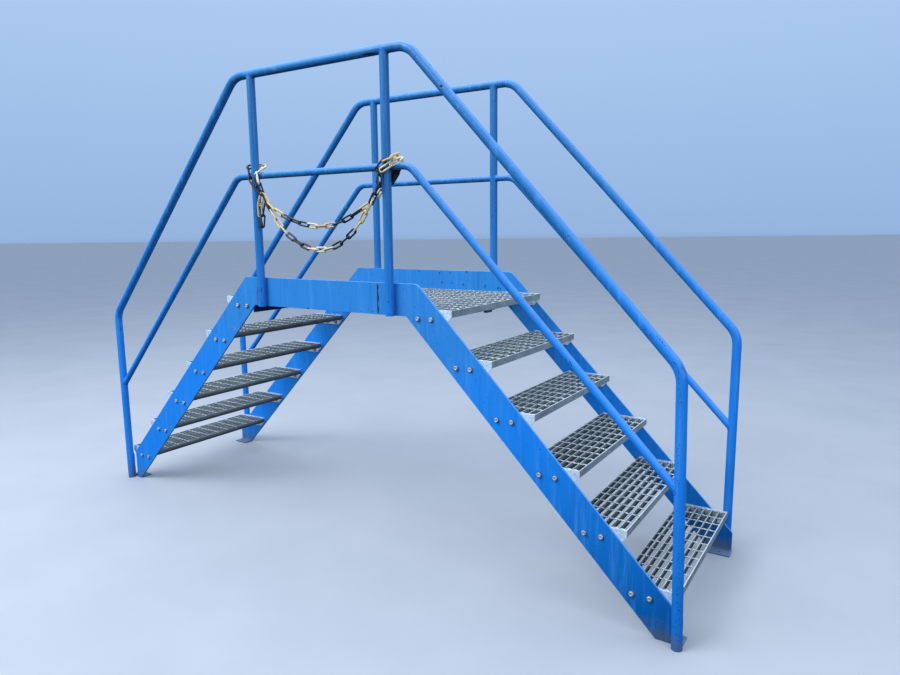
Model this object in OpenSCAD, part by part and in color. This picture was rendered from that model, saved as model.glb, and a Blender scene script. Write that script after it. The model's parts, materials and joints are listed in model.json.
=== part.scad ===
// Crossover stairs: two mirrored flights of grating treads that meet at a
// small platform, with a bent-tube handrail on each side.
// X runs along the walking direction, Y across the steps, Z up.
// The origin is on the floor, in the middle of the four corners.

/* [Steps] */
// Height of each riser
rise = 206.5; // [180:0.5:220]
// Horizontal distance from nosing to nosing
going = 203.5; // [190:0.5:240]
// Treads in each flight, below the platform
treads = 5; // [3:1:6]
// Depth of a tread from nosing to rear bar
tread_depth = 234; // [200:1:270]
// Height of the bearing bars and the nosing bar
bar_h = 30; // [25:1:40]
// Thickness of the bearing bars
bar_t = 3; // [2:0.5:5]
// Thickness of the nosing bar
nosing_t = 5; // [3:0.5:8]
// Pitch of the bearing bars
bar_pitch = 34.3; // [30:0.1:40]
// Pitch of the cross rods
rod_pitch = 80; // [50:0.5:101.5]
// Side of the square cross rods
rod_d = 6; // [4:0.5:8]
// Thickness of the tread end plates
end_t = 4; // [3:0.5:6]
// Height of the tread end plates
end_h = 66; // [60:1:75]

/* [Platform] */
// Nosing of the platform, from the middle
nosing_x = 743; // [600:1:1000]
// Height of the side plates and width of the flat bars
flat_w = 150; // [120:1:200]
// How far the side plates stand above the grating
kick_h = 112; // [90:1:140]
// Thickness of the side plates and stringers
flat_t = 10; // [8:1:12]

/* [Stringers] */
// Lower knee of a stringer, from the middle
knee_x = 502; // [400:1:700]
// Vertical cut at the toe of a stringer
toe_x = 1787; // [1750:1:1800]
// Vertical cut at the toe of the shorter stringer
short_toe_x = 1729; // [1705:1:1780]
// Seam between the side plate and the right stringer
seam_right_x = 337; // [300:1:400]
// Seam between the side plate and the left stringer
seam_left_x = 461; // [450:1:480]
// Radius of the rounded top corner
corner_r = 45; // [10:1:80]

/* [Handrails] */
// Diameter of the handrail tube, its legs and the posts
rail_d = 42.4; // [33.7:0.1:48.3]
// Diameter of the mid rail tube
mid_d = 33.7; // [26.9:0.1:42.4]
// Distance of the tube centres from the middle plane
rail_y = 485; // [480:1:490]
// Distance of the legs from the middle
leg_x = 1755; // [1700:1:1800]
// Height where leg and slope would meet
leg_bend_z = 1084; // [1000:1:1200]
// Half length of the level top rail, corner to corner
top_x = 544; // [500:1:600]
// Height of the top rail's centre
top_z = 2370; // [2300:1:2420]
// Distance of the posts from the middle
post_x = 425; // [380:1:450]
// Half length of the level mid rail, corner to corner
mid_x = 547; // [500:1:600]
// Height of the level mid rail's centre
mid_z = 1871; // [1800:1:1900]
// Height where the mid rail meets the leg
mid_leg_z = 619; // [560:1:700]
// Bend radius of the handrail tube
bend_r = 130; // [100:1:160]
// Bend radius of the mid rail tube
mid_bend_r = 90; // [70:1:120]
// Lean of the right near leg, outwards at its foot
lean_foot = 19; // [0:1:25]
// Lean of the right near leg, inwards at its bend
lean_bend = 5; // [0:1:20]

/* [Feet] */
// Length of a foot plate
foot_l = 105; // [90:1:120]
// Width of a foot plate
foot_w = 60; // [50:1:80]
// Thickness of a foot plate
foot_t = 8; // [6:1:12]
// Anchor hole in a foot plate
foot_hole_d = 14; // [10:0.5:18]

/* [Hidden] */

blue = [0.10, 0.38, 0.76];
zinc = [0.60, 0.63, 0.62];
chain_yellow = [0.85, 0.72, 0.35];

near = -1;
far = 1;
left = -1;
right = 1;

slope = rise / going;
platform_z = rise * (treads + 1);
side_top = platform_z + kick_h;
side_bottom = side_top - flat_w;
rail_r = rail_d / 2;
mid_r = mid_d / 2;
// outer and inner faces of the stringers and side plates
face_out = rail_y - rail_r - 0.05;
face_in = face_out - flat_t;
// the stringer's lower and upper edges, as x at the height z
edge_dx = flat_w / sin(atan(slope));
function lower_x(z) = knee_x + (side_bottom - z) / slope;
function upper_x(z) = lower_x(z) + edge_dx;
// grating: top of the bars, and bearers below it
bearer_w = 50;
bearer_t = 6;
bearer_x = nosing_x - tread_depth + 27;
grating_bottom = platform_z - bar_h;
step_rear_x = nosing_x - tread_depth;
foot_x = 1737;
foot_hole_y = face_in - 30;
// how far the flights and rails are out of true, as built
near_left_out = 5;
far_right_in = 8;
near_top_out = 6;
far_top_up = 5;
mid_near_left_out = 11;
mid_near_right_out = 4;
first_right_ahead = 8;

// ---- helpers -------------------------------------------------------------

// A plate whose outline lies in XZ, from y0 to y1
module upright(pts, y0, y1) {
  translate([0, y1, 0]) rotate([90, 0, 0]) linear_extrude(y1 - y0) polygon(pts);
}

// Points of an arc about c, from angle a0 to a1 in n steps
function arc(c, r, a0, a1, n) =
  [for (i = [0:n]) [c[0] + r * cos(a0 + (a1 - a0) * i / n), c[1] + r * sin(a0 + (a1 - a0) * i / n)]];

function unit(v) = v / norm(v);
function turn(a, b) = atan2(a[0] * b[1] - a[1] * b[0], a * b);

// A round tube in the plane y, along the corners p = [x, z], bent at each
// inner corner with the centre-line radius br. A dressed-down weld ring, a
// fifth of a millimetre proud, joins each bend to its straight lengths.
ring_proud = 0.2;
ring_half = 1.5;
module bent_tube(p, r, br, y) {
  n = len(p);
  d = [for (i = [0:n - 2]) unit(p[i + 1] - p[i])];
  t = [for (i = [0:n - 1]) (i == 0 || i == n - 1) ? 0 : br * tan(abs(turn(d[i - 1], d[i])) / 2)];
  gap = 0.5;
  translate([0, y, 0]) rotate([90, 0, 0]) union() {
    for (i = [0:n - 2]) {
      a = p[i] + d[i] * (t[i] + (t[i] > 0 ? gap : 0));
      b = p[i + 1] - d[i] * (t[i + 1] + (t[i + 1] > 0 ? gap : 0));
      translate([a[0], a[1], 0]) rotate([0, 0, atan2(d[i][1], d[i][0])]) rotate([0, 90, 0]) {
        cylinder(h = norm(b - a), r = r, $fn = 48);
        if (t[i] > 0) translate([0, 0, -gap - ring_half])
          cylinder(h = 2 * ring_half + gap, r = r + ring_proud, $fn = 48);
        if (t[i + 1] > 0) translate([0, 0, norm(b - a) - ring_half])
          cylinder(h = 2 * ring_half + gap, r = r + ring_proud, $fn = 48);
      }
    }
    if (n > 2) for (i = [1:n - 2]) {
      w = turn(d[i - 1], d[i]);
      s = w > 0 ? 1 : -1;
      a = p[i] - d[i - 1] * t[i];
      c = a + s * br * [-d[i - 1][1], d[i - 1][0]];
      a0 = atan2(a[1] - c[1], a[0] - c[0]);
      translate([c[0], c[1], 0]) rotate([0, 0, w > 0 ? a0 : a0 + w])
        rotate_extrude(angle = abs(w), $fn = 96) translate([br, 0]) circle(r = r, $fn = 48);
    }
  }
}

// A straight round bar in the plane y from [x, z] to [x, z]
module bar_xz(a, b, r, y) { bent_tube([a, b], r, 1, y); }

// ---- stringers and platform sides ---------------------------------------

// seam: where the level part is welded to the side plate, toe: the cut at the
// foot, rounded: whether the top corner is rounded, out: how far the slope is
// moved outwards
module stringer(seam, toe, rounded, out) {
  top = [upper_x(side_top) + out, side_top];
  ang = atan(slope);
  cut = corner_r * tan(ang / 2);
  corner = rounded
    ? arc([top[0] - cut, side_top - corner_r], corner_r, 90, 90 - ang, 8)
    : [top];
  polygon(concat(
    [[seam, side_bottom], [knee_x + out, side_bottom], [lower_x(0) + out, 0], [toe, 0],
     [toe, (upper_x(0) + out - toe) * slope]],
    [for (i = [len(corner) - 1:-1:0]) corner[i]],
    [[seam, side_top]]));
}

module stringer_at(side, hand, seam, toe, rounded, out = 0) {
  color(blue)
    translate([0, side > 0 ? face_out : -face_in, 0])
      rotate([90, 0, 0]) linear_extrude(flat_t)
        scale_hand(hand) stringer(seam, toe, rounded, out);
}

// Mirrors an outline for the left flight
module scale_hand(hand) {
  if (hand > 0) children();
  else mirror([1, 0]) children();
}

module stringer_near_left() { stringer_at(near, left, seam_left_x, short_toe_x, false, near_left_out); }
module stringer_near_right() { stringer_at(near, right, seam_right_x, toe_x, true); }
module stringer_far_left() { stringer_at(far, left, seam_left_x, toe_x, false); }
module stringer_far_right() { stringer_at(far, right, seam_right_x, toe_x, true, -far_right_in); }

module platform_side(side) {
  y0 = side > 0 ? face_in : -face_out;
  color(blue)
    translate([-seam_left_x, y0, side_bottom])
      cube([seam_left_x + seam_right_x, flat_t, flat_w]);
}
module platform_side_near() { platform_side(near); }
module platform_side_far() { platform_side(far); }

// ---- gratings -------------------------------------------------------------

// A bar between x0 and x1 at the near end, along Y for the width 2 w. Its far
// end lags behind the near one by skew.
module bar(x0, x1, w, skew) {
  translate([0, 0, -bar_h]) linear_extrude(bar_h)
    polygon([[x0, -w], [x1, -w], [x1 - skew, w], [x0 - skew, w]]);
}

// Cross rods along X from x0 to x1, flush with the top of bars of width 2 w
module rods(x0, x1, w, skew) {
  n = floor(w / rod_pitch + 0.5);
  for (i = [-n:n - 1]) {
    y = (i + 0.5) * rod_pitch;
    lag = skew * (y + w) / (2 * w);
    translate([x0 - lag, y - rod_d / 2, -rod_d - 0.5]) cube([x1 - x0, rod_d, rod_d]);
  }
}

// A tread whose nosing faces +X at x = 0 and whose top is at z = 0
module tread(skew) {
  w = face_in - end_t;
  rear = -tread_depth;
  // nosing bar and the bearing bars behind it, then the rear bar
  bar(-nosing_t, 0, w, skew);
  for (i = [1:6])
    bar(-nosing_t / 2 - i * bar_pitch - bar_t / 2, -nosing_t / 2 - i * bar_pitch + bar_t / 2, w, skew);
  bar(rear, rear + bar_t, w, skew);
  rods(rear + bar_t / 2, -nosing_t / 2, w, skew);
}

// The end plates of one tread, with both lower corners cut away. The bars are
// welded to them, and they are bolted to the stringers.
module end_plates(skew) {
  w = face_in - end_t;
  rear = -tread_depth;
  c = end_h - bar_h;
  for (s = [-1, 1])
    translate([s > 0 ? -skew : 0, 0, 0])
      upright([[rear, 0], [rear, -bar_h], [rear + c, -end_h], [-c, -end_h], [0, -bar_h], [0, 0]],
              s > 0 ? w : -face_in, s > 0 ? face_in : -w);
}

// Tread k of a flight, counted from the floor; k = treads + 1 is the top step
module step_place(hand, k) {
  x = nosing_x + going * (treads + 1 - k) + (hand > 0 && k == 1 ? first_right_ahead : 0);
  rotate([0, 0, hand > 0 ? 0 : 180]) translate([x, 0, rise * k]) children();
}
function skew_of(hand) = hand > 0 ? far_right_in : 0;
module tread_at(hand, k) { color(zinc) step_place(hand, k) tread(skew_of(hand)); }
module tread_ends(hand) {
  color(zinc) for (k = [1:treads + 1]) step_place(hand, k) end_plates(skew_of(hand));
}

module top_step_left() { tread_at(left, treads + 1); }
module top_step_right() { tread_at(right, treads + 1); }
module tread_left_1() { tread_at(left, 1); }
module tread_left_2() { tread_at(left, 2); }
module tread_left_3() { tread_at(left, 3); }
module tread_left_4() { tread_at(left, 4); }
module tread_left_5() { tread_at(left, 5); }
module tread_right_1() { tread_at(right, 1); }
module tread_right_2() { tread_at(right, 2); }
module tread_right_3() { tread_at(right, 3); }
module tread_right_4() { tread_at(right, 4); }
module tread_right_5() { tread_at(right, 5); }
module tread_ends_left() { tread_ends(left); }
module tread_ends_right() { tread_ends(right); }

// The platform's grating panel between the two top steps
module platform_grating() {
  half = step_rear_x - far_right_in - 2;
  n = floor((half - bar_t) / bar_pitch);
  w = face_in - 1;
  color(zinc) translate([0, 0, platform_z]) {
    for (i = [-n:n]) bar(i * bar_pitch - bar_t / 2, i * bar_pitch + bar_t / 2, w, 0);
    for (s = [-1, 1]) {
      bar(s > 0 ? half - bar_t : -half, s > 0 ? half : -half + bar_t, w, 0);
      translate([-half, s > 0 ? w - bar_t : -w, -bar_h]) cube([2 * half, bar_t, bar_h]);
    }
    rods(-half + bar_t / 2, half - bar_t / 2, w, 0);
  }
}

// ---- what carries the platform --------------------------------------------

// Angle across the width: the end of the platform grating and the rear of the
// top step lie on its level leg, and the other leg hangs down on the outside.
// It ends at the end plates of the top step; up to those it reaches the sides.
module platform_bearer(hand) {
  w = face_in - end_t;
  inner = bearer_x - bearer_w;
  reach = nosing_x - tread_depth - 8;
  color(blue)
    rotate([0, 0, hand > 0 ? 0 : 180])
      translate([0, 0, grating_bottom]) {
        translate([inner, -w, -bearer_t]) cube([bearer_w, 2 * w, bearer_t]);
        translate([bearer_x - bearer_t, -w, -bearer_w]) cube([bearer_t, 2 * w, bearer_w]);
        translate([inner, -face_in, -bearer_t]) cube([reach - inner, 2 * face_in, bearer_t]);
      }
}
module platform_bearer_left() { platform_bearer(left); }
module platform_bearer_right() { platform_bearer(right); }

// Flat bar along the inside of a side plate, under the ends of the bars
module platform_ledge(side) {
  half = bearer_x - bearer_w;
  color(blue)
    translate([-half, side > 0 ? face_in - 35 : -face_in, grating_bottom - 6])
      cube([2 * half, 35, 6]);
}
module platform_ledge_near() { platform_ledge(near); }
module platform_ledge_far() { platform_ledge(far); }

// ---- handrails -------------------------------------------------------------

// Corners of a handrail's centre line, from floor to floor
function rail_line(side) = side < 0
  ? [[-leg_x - near_left_out, 0], [-leg_x - near_left_out, leg_bend_z], [-top_x, top_z],
     [top_x + near_top_out, top_z], [leg_x - lean_bend, leg_bend_z], [leg_x + lean_foot, 0]]
  : [[-leg_x, 0], [-leg_x, leg_bend_z], [-top_x, top_z + far_top_up],
     [top_x - far_top_up, top_z + far_top_up], [leg_x, leg_bend_z], [leg_x, 0]];
// Corner of a mid rail's centre line, from the middle
function mid_corner(side, hand) =
  mid_x + (side > 0 ? 0 : hand < 0 ? mid_near_left_out : mid_near_right_out);

module handrail(side) {
  color(blue) difference() {
    bent_tube(rail_line(side), rail_r, bend_r, side * rail_y);
    // the leaning leg is cut level with the floor
    translate([-leg_x - 100, side * rail_y - 50, -60]) cube([2 * leg_x + 200, 100, 60]);
  }
}
module handrail_near() { handrail(near); }
module handrail_far() { handrail(far); }

module post(side, hand) {
  color(blue) difference() {
    translate([hand * post_x, side * rail_y, side_bottom])
      cylinder(h = rail_line(side)[2][1] - side_bottom, r = rail_r, $fn = 48);
    bar_xz(rail_line(side)[2], rail_line(side)[3], rail_r, side * rail_y);
  }
}
module post_near_left() { post(near, left); }
module post_near_right() { post(near, right); }
module post_far_left() { post(far, left); }
module post_far_right() { post(far, right); }

// Sloping part of the mid rail, from a leg to a post, notched over both
module mid_rail_end(side, hand) {
  line = rail_line(side);
  foot = hand < 0 ? line[0] : line[5];
  bend = hand < 0 ? line[1] : line[4];
  f = (mid_leg_z - foot[1]) / (bend[1] - foot[1]);
  start = foot + (bend - foot) * f;
  color(blue) difference() {
    bent_tube([start, [hand * mid_corner(side, hand), mid_z], [hand * post_x, mid_z]], mid_r, mid_bend_r, side * rail_y);
    bar_xz(foot, bend, rail_r, side * rail_y);
    translate([hand * post_x, side * rail_y, mid_z - 100]) cylinder(h = 200, r = rail_r, $fn = 48);
  }
}
module mid_rail_middle(side) {
  color(blue) difference() {
    bar_xz([-post_x, mid_z], [post_x, mid_z], mid_r, side * rail_y);
    for (hand = [-1, 1])
      translate([hand * post_x, side * rail_y, mid_z - 100]) cylinder(h = 200, r = rail_r, $fn = 48);
  }
}
module mid_rail_near_left() { mid_rail_end(near, left); }
module mid_rail_near_middle() { mid_rail_middle(near); }
module mid_rail_near_right() { mid_rail_end(near, right); }
module mid_rail_far_left() { mid_rail_end(far, left); }
module mid_rail_far_middle() { mid_rail_middle(far); }
module mid_rail_far_right() { mid_rail_end(far, right); }

// ---- feet -------------------------------------------------------------------

module foot(side, hand) {
  y0 = side > 0 ? face_in - foot_w : -face_in;
  color(blue) difference() {
    translate([hand * foot_x - foot_l / 2, y0, 0]) cube([foot_l, foot_w, foot_t]);
    translate([hand * foot_x, side * foot_hole_y, -1]) cylinder(h = foot_t + 2, d = foot_hole_d, $fn = 32);
  }
}
module foot_near_left() { foot(near, left); }
module foot_near_right() { foot(near, right); }
module foot_far_left() { foot(far, left); }
module foot_far_right() { foot(far, right); }

// ---- barrier chain ---------------------------------------------------------

// half the width of a link
chain_r = 14;
chain_sides = 10;
// the two hanging lengths, as x, y, z along each of them
upper_route = [
  [-268, -496, 1688], [-232, -496, 1670], [-179, -490, 1648], [-125, -487, 1631],
  [-72, -483, 1619], [-17, -480, 1613], [38, -476, 1614], [92, -473, 1621],
  [145, -469, 1636], [197, -466, 1659], [249, -462, 1686], [301, -458, 1714],
  [340, -455, 1740], [369, -452, 1773], [388, -463, 1792], [388, -463, 1800]];
lower_route = [
  [-266, -504, 1648], [-233, -504, 1612], [-193, -506, 1577], [-144, -507, 1549],
  [-94, -508, 1524], [-43, -510, 1508], [8, -511, 1502], [64, -512, 1503],
  [117, -513, 1513], [170, -514, 1535], [212, -515, 1561], [256, -517, 1592],
  [293, -518, 1630], [326, -519, 1672], [358, -520, 1712], [385, -521, 1753],
  [405, -521, 1785], [405, -521, 1800]];
// heights between which the chain is wound round a post and the mid rail
knot_z = [1800, 1935];
knot_r = rail_r + 0.3 + 2 * chain_r + 1;
// the bunch that hangs from the left knot, as x, z of its corners
bunch = [[-385, 1830], [-362, 1622], [-295, 1686]];
bunch_r = 16;
// where the two lengths come out of the bunch, as x, z from inside it
upper_stub = [[-300, 1704], [-268, 1688]];
lower_stub = [[-299, 1684], [-266, 1648]];

// A closed round tube swept along points
module swept(route, r, sides) {
  n = len(route);
  rings = [for (i = [0:n - 1])
    let (d = unit(route[min(i + 1, n - 1)] - route[max(i - 1, 0)]), u = unit([-d[2], 0, d[0]]), w = cross(u, d))
    [for (k = [0:sides - 1]) route[i] + r * cos(360 * k / sides) * u + r * sin(360 * k / sides) * w]];
  v = [for (ring = rings) for (q = ring) q];
  side_faces = [for (i = [0:n - 2]) for (k = [0:sides - 1])
    let (a = i * sides + k, b = i * sides + (k + 1) % sides)
    each [[a, b, a + sides], [b, b + sides, a + sides]]];
  ends = [[for (k = [sides - 1:-1:0]) k], [for (k = [0:sides - 1]) (n - 1) * sides + k]];
  polyhedron(points = v, faces = concat(side_faces, ends), convexity = 4);
}

module chain_upper() { color(chain_yellow) swept(upper_route, chain_r, chain_sides); }
module chain_lower() { color(chain_yellow) swept(lower_route, chain_r, chain_sides); }

// The turns of chain round a post, above and below the mid rail; along is how
// far they reach along the mid rail
module chain_knot(hand, along) {
  color(chain_yellow) difference() {
    union() {
      translate([0, 0, knot_z[0]]) linear_extrude(knot_z[1] - knot_z[0])
        hull() {
          translate([hand * post_x, -rail_y]) circle(knot_r, $fn = 64);
          translate([hand * (post_x + along), -rail_y]) circle(35, $fn = 48);
        }
      children();
    }
    translate([hand * post_x, -rail_y, knot_z[0] - 300]) cylinder(h = 500, r = rail_r + 0.3, $fn = 48);
    bar_xz([-mid_x + 20, mid_z], [mid_x - 20, mid_z], mid_r + 0.3, -rail_y);
  }
}
module chain_knot_left() {
  chain_knot(left, 0) {
    translate([0, -490, 0]) rotate([90, 0, 0]) linear_extrude(34)
      hull() for (q = bunch) translate(q) circle(bunch_r, $fn = 32);
    bar_xz(upper_stub[0], upper_stub[1], chain_r, upper_route[0][1]);
    bar_xz(lower_stub[0], lower_stub[1], chain_r, lower_route[0][1]);
  }
}
module chain_knot_right() { chain_knot(right, 52); }

// ---- assembly ----------------------------------------------------------------

stringer_near_left();
stringer_near_right();
stringer_far_left();
stringer_far_right();
platform_side_near();
platform_side_far();
platform_grating();
platform_bearer_left();
platform_bearer_right();
platform_ledge_near();
platform_ledge_far();
top_step_left();
top_step_right();
tread_left_1();
tread_left_2();
tread_left_3();
tread_left_4();
tread_left_5();
tread_right_1();
tread_right_2();
tread_right_3();
tread_right_4();
tread_right_5();
tread_ends_left();
tread_ends_right();
handrail_near();
handrail_far();
post_near_left();
post_near_right();
post_far_left();
post_far_right();
mid_rail_near_left();
mid_rail_near_middle();
mid_rail_near_right();
mid_rail_far_left();
mid_rail_far_middle();
mid_rail_far_right();
foot_near_left();
foot_near_right();
foot_far_left();
foot_far_right();
chain_upper();
chain_lower();
chain_knot_left();
chain_knot_right();
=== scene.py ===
import json
import math
import random

import bmesh
import bpy
import numpy as np
from mathutils import Matrix, Vector
from mathutils.bvhtree import BVHTree

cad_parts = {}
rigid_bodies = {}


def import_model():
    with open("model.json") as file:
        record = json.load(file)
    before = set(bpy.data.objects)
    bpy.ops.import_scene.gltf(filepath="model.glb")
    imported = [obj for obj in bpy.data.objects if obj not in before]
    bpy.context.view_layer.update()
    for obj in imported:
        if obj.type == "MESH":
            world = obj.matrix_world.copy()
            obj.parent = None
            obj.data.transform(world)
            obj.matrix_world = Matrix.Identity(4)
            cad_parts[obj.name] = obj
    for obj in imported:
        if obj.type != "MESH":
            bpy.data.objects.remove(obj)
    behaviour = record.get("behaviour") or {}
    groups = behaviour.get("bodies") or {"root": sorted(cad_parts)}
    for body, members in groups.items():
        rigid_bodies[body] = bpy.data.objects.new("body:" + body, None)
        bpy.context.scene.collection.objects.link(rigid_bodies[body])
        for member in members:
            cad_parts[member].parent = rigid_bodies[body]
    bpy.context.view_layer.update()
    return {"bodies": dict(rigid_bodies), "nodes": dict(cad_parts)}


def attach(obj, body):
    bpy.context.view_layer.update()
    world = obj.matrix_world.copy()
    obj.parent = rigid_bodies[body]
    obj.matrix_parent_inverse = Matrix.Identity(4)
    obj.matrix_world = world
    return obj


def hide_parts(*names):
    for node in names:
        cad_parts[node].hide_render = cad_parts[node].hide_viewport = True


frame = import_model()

BODY = list(frame["bodies"])[0]
MM = 0.001

# ---------------------------------------------------------------------------
# Camera: solved from the straight edges of the object, at eye height
# ---------------------------------------------------------------------------
YAW, PITCH, ROLL, FOCAL_PX = 0.578225, 0.157931, 0.010162, 687.61
ahead = Vector((-math.sin(YAW) * math.cos(PITCH), math.cos(YAW) * math.cos(PITCH), -math.sin(PITCH)))
side = Vector((math.cos(YAW), math.sin(YAW), 0.0))
down = ahead.cross(side)
cam_x = side * math.cos(ROLL) + down * math.sin(ROLL)
cam_down = -side * math.sin(ROLL) + down * math.cos(ROLL)
cam_data = bpy.data.cameras.new("camera")
cam_data.sensor_fit = "HORIZONTAL"
cam_data.sensor_width = 36.0
cam_data.lens = FOCAL_PX / 900.0 * 36.0
cam_data.clip_start, cam_data.clip_end = 0.05, 100.0
camera = bpy.data.objects.new("camera", cam_data)
m = Matrix.Identity(4)
for i, axis in enumerate((cam_x, -cam_down, -ahead)):
    for j in range(3):
        m[j][i] = axis[j]
m.translation = Vector((2.37476, -2.96828, 1.59874))
camera.matrix_world = m
bpy.context.scene.collection.objects.link(camera)
bpy.context.scene.camera = camera

# ---------------------------------------------------------------------------
# Sizes, the same as the construction's (mm)
# ---------------------------------------------------------------------------
RISE, GOING, TREADS, DEPTH = 206.5, 203.5, 5, 234.0
BAR_H, BAR_T, NOSE_T, BAR_PITCH, ROD_PITCH, ROD_D = 30.0, 3.0, 5.0, 34.3, 80.0, 6.0
END_T, END_H = 4.0, 66.0
NOSE_X, FLAT_W, KICK_H, FLAT_T = 743.0, 150.0, 112.0, 10.0
KNEE_X, TOE_X, SHORT_TOE_X = 502.0, 1787.0, 1729.0
SEAM_R, SEAM_L, CORNER_R = 337.0, 461.0, 45.0
RAIL_R, MID_R, RAIL_Y = 21.2, 16.85, 485.0
POST_X, MID_Z, MID_LEG_Z, BEND_R, MID_BEND_R = 425.0, 1871.0, 619.0, 130.0, 90.0
FOOT_L, FOOT_W, FOOT_T, FOOT_HOLE, FOOT_X = 105.0, 60.0, 8.0, 14.0, 1737.0
# corners of the handrails' centre lines, and of the mid rails' bends, by side
RAIL_LINE = {-1: [(-1760, 0), (-1760, 1084), (-544, 2370), (550, 2370), (1750, 1084), (1774, 0)],
             1: [(-1755, 0), (-1755, 1084), (-544, 2375), (539, 2375), (1755, 1084), (1755, 0)]}
MID_X = {(-1, -1): 558.0, (-1, 1): 551.0, (1, -1): 547.0, (1, 1): 547.0}
# how far each stringer's slope is moved outwards, and the lag of the right flight's far side
STRINGER_OUT = {(-1, -1): 5.0, (-1, 1): 0.0, (1, -1): 0.0, (1, 1): -8.0}
SKEW, FIRST_AHEAD = 8.0, 8.0
SLOPE = RISE / GOING
PLATFORM_Z = RISE * (TREADS + 1)
SIDE_TOP = PLATFORM_Z + KICK_H
SIDE_BOTTOM = SIDE_TOP - FLAT_W
FACE_OUT = RAIL_Y - RAIL_R - 0.05
FACE_IN = FACE_OUT - FLAT_T
ANG = math.atan(SLOPE)


def lower_x(z):
    return KNEE_X + (SIDE_BOTTOM - z) / SLOPE


def upper_x(z):
    return lower_x(z) + FLAT_W / math.sin(ANG)


def nosing(sx, level):
    """Where the nosing of a tread is, outwards from the middle."""
    return NOSE_X + GOING * (TREADS + 1 - level) + (FIRST_AHEAD if sx > 0 and level == 1 else 0.0)


# ---------------------------------------------------------------------------
# Meshes from arrays
# ---------------------------------------------------------------------------
class Shape:
    """Collects faces in millimetres, with a material number, and makes one object in metres."""

    def __init__(self):
        self.v, self.f, self.m, self.s, self.e, self.n = [], [], [], [], [], 0

    def add(self, verts, faces, mat=0, smooth=False, edge=None):
        verts = np.asarray(verts, float).reshape(-1, 3)
        self.v.append(verts)
        self.f += [[i + self.n for i in face] for face in faces]
        self.m += [mat] * len(faces)
        self.s += [smooth] * len(faces)
        self.e.append(np.zeros(len(verts)) if edge is None else np.asarray(edge, float))
        self.n += len(verts)

    def box(self, lo, hi, mat=0, edge=None):
        (a, b, c), (d, e, f) = lo, hi
        v = [(a, b, c), (d, b, c), (d, e, c), (a, e, c), (a, b, f), (d, b, f), (d, e, f), (a, e, f)]
        self.add(v, [(0, 3, 2, 1), (4, 5, 6, 7), (0, 1, 5, 4), (1, 2, 6, 5), (2, 3, 7, 6), (3, 0, 4, 7)], mat, edge=edge)

    def make(self, name, materials, nodes=(), ride=True):
        mesh = bpy.data.meshes.new(name)
        v = np.concatenate(self.v) * MM
        mesh.from_pydata(v.tolist(), [], self.f)
        mesh.polygons.foreach_set("material_index", self.m)
        mesh.polygons.foreach_set("use_smooth", self.s)
        at = mesh.attributes.new("edge", "FLOAT", "POINT")
        at.data.foreach_set("value", np.concatenate(self.e).astype(np.float32))
        mesh.validate()
        mesh.update()
        for mat in materials:
            mesh.materials.append(mat)
        o = bpy.data.objects.new(name, mesh)
        bpy.context.scene.collection.objects.link(o)
        if ride:
            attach(o, BODY)
        if nodes:
            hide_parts(*nodes)
        return o


def frames(points, up=None, closed=False):
    """Tangents and two normals along a line, turned as little as possible."""
    p = np.asarray(points, float)
    if closed:
        t = np.roll(p, -1, 0) - np.roll(p, 1, 0)
    else:
        t = np.gradient(p, axis=0)
    t /= np.linalg.norm(t, axis=1)[:, None]
    a = np.array(up if up is not None else (0.0, 0.0, 1.0), float)
    if abs(t[0] @ a) > 0.9:
        a = np.array((1.0, 0.0, 0.0))
    n = a - t[0] * (a @ t[0])
    n /= np.linalg.norm(n)
    ns = [n]
    for i in range(1, len(p)):
        n = ns[-1] - t[i] * (ns[-1] @ t[i])
        ns.append(n / np.linalg.norm(n))
    n = np.array(ns)
    return t, n, np.cross(t, n)


def tube(shape, points, radius, sides=24, mat=0, caps=True, closed=False, up=None, radii=None, edge=None):
    p = np.asarray(points, float)
    t, n, b = frames(p, up, closed)
    r = np.full(len(p), radius, float) if radii is None else np.asarray(radii, float)
    a = np.arange(sides) / sides * 2 * math.pi
    ring = np.cos(a)[None, :, None] * n[:, None] + np.sin(a)[None, :, None] * b[:, None]
    v = p[:, None] + ring * (r[:, None, None] if r.ndim == 1 else r[:, :, None])
    faces = []
    count = len(p)
    for i in range(count if closed else count - 1):
        i2 = (i + 1) % count
        for k in range(sides):
            k2 = (k + 1) % sides
            faces.append((i * sides + k, i * sides + k2, i2 * sides + k2, i2 * sides + k))
    shape.add(v.reshape(-1, 3), faces, mat, True, edge)
    if caps and not closed:
        shape.add(v[0], [tuple(range(sides))[::-1]], mat)
        shape.add(v[-1], [tuple(range(sides))], mat)


def bent_line(corners, radius, step=7.5, straight=60.0):
    """Points along a line in XZ whose inner corners are bent; each is (x, z)."""
    c = [np.array(q, float) for q in corners]
    d = [(c[i + 1] - c[i]) / np.linalg.norm(c[i + 1] - c[i]) for i in range(len(c) - 1)]
    turn = [0.0] + [math.atan2(d[i - 1][0] * d[i][1] - d[i - 1][1] * d[i][0], d[i - 1] @ d[i]) for i in range(1, len(d))] + [0.0]
    cut = [0.0 if abs(w) < 1e-9 else radius * math.tan(abs(w) / 2) for w in turn]
    out = []
    for i in range(len(d)):
        a, b = c[i] + d[i] * cut[i], c[i + 1] - d[i] * cut[i + 1]
        n = max(1, int(np.linalg.norm(b - a) / straight))
        for k in range(n + 1):
            if k or not out or np.linalg.norm(out[-1] - a) > 1e-6:
                out.append(a + (b - a) * k / n)
        if i + 1 < len(d):
            w = turn[i + 1]
            s = 1 if w > 0 else -1
            mid = b + s * radius * np.array((-d[i][1], d[i][0]))
            a0 = math.atan2(b[1] - mid[1], b[0] - mid[0])
            steps = max(4, int(abs(w) / math.radians(step)))
            for k in range(1, steps + 1):
                a1 = a0 + w * k / steps
                out.append(mid + radius * np.array((math.cos(a1), math.sin(a1))))
    return out


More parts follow.
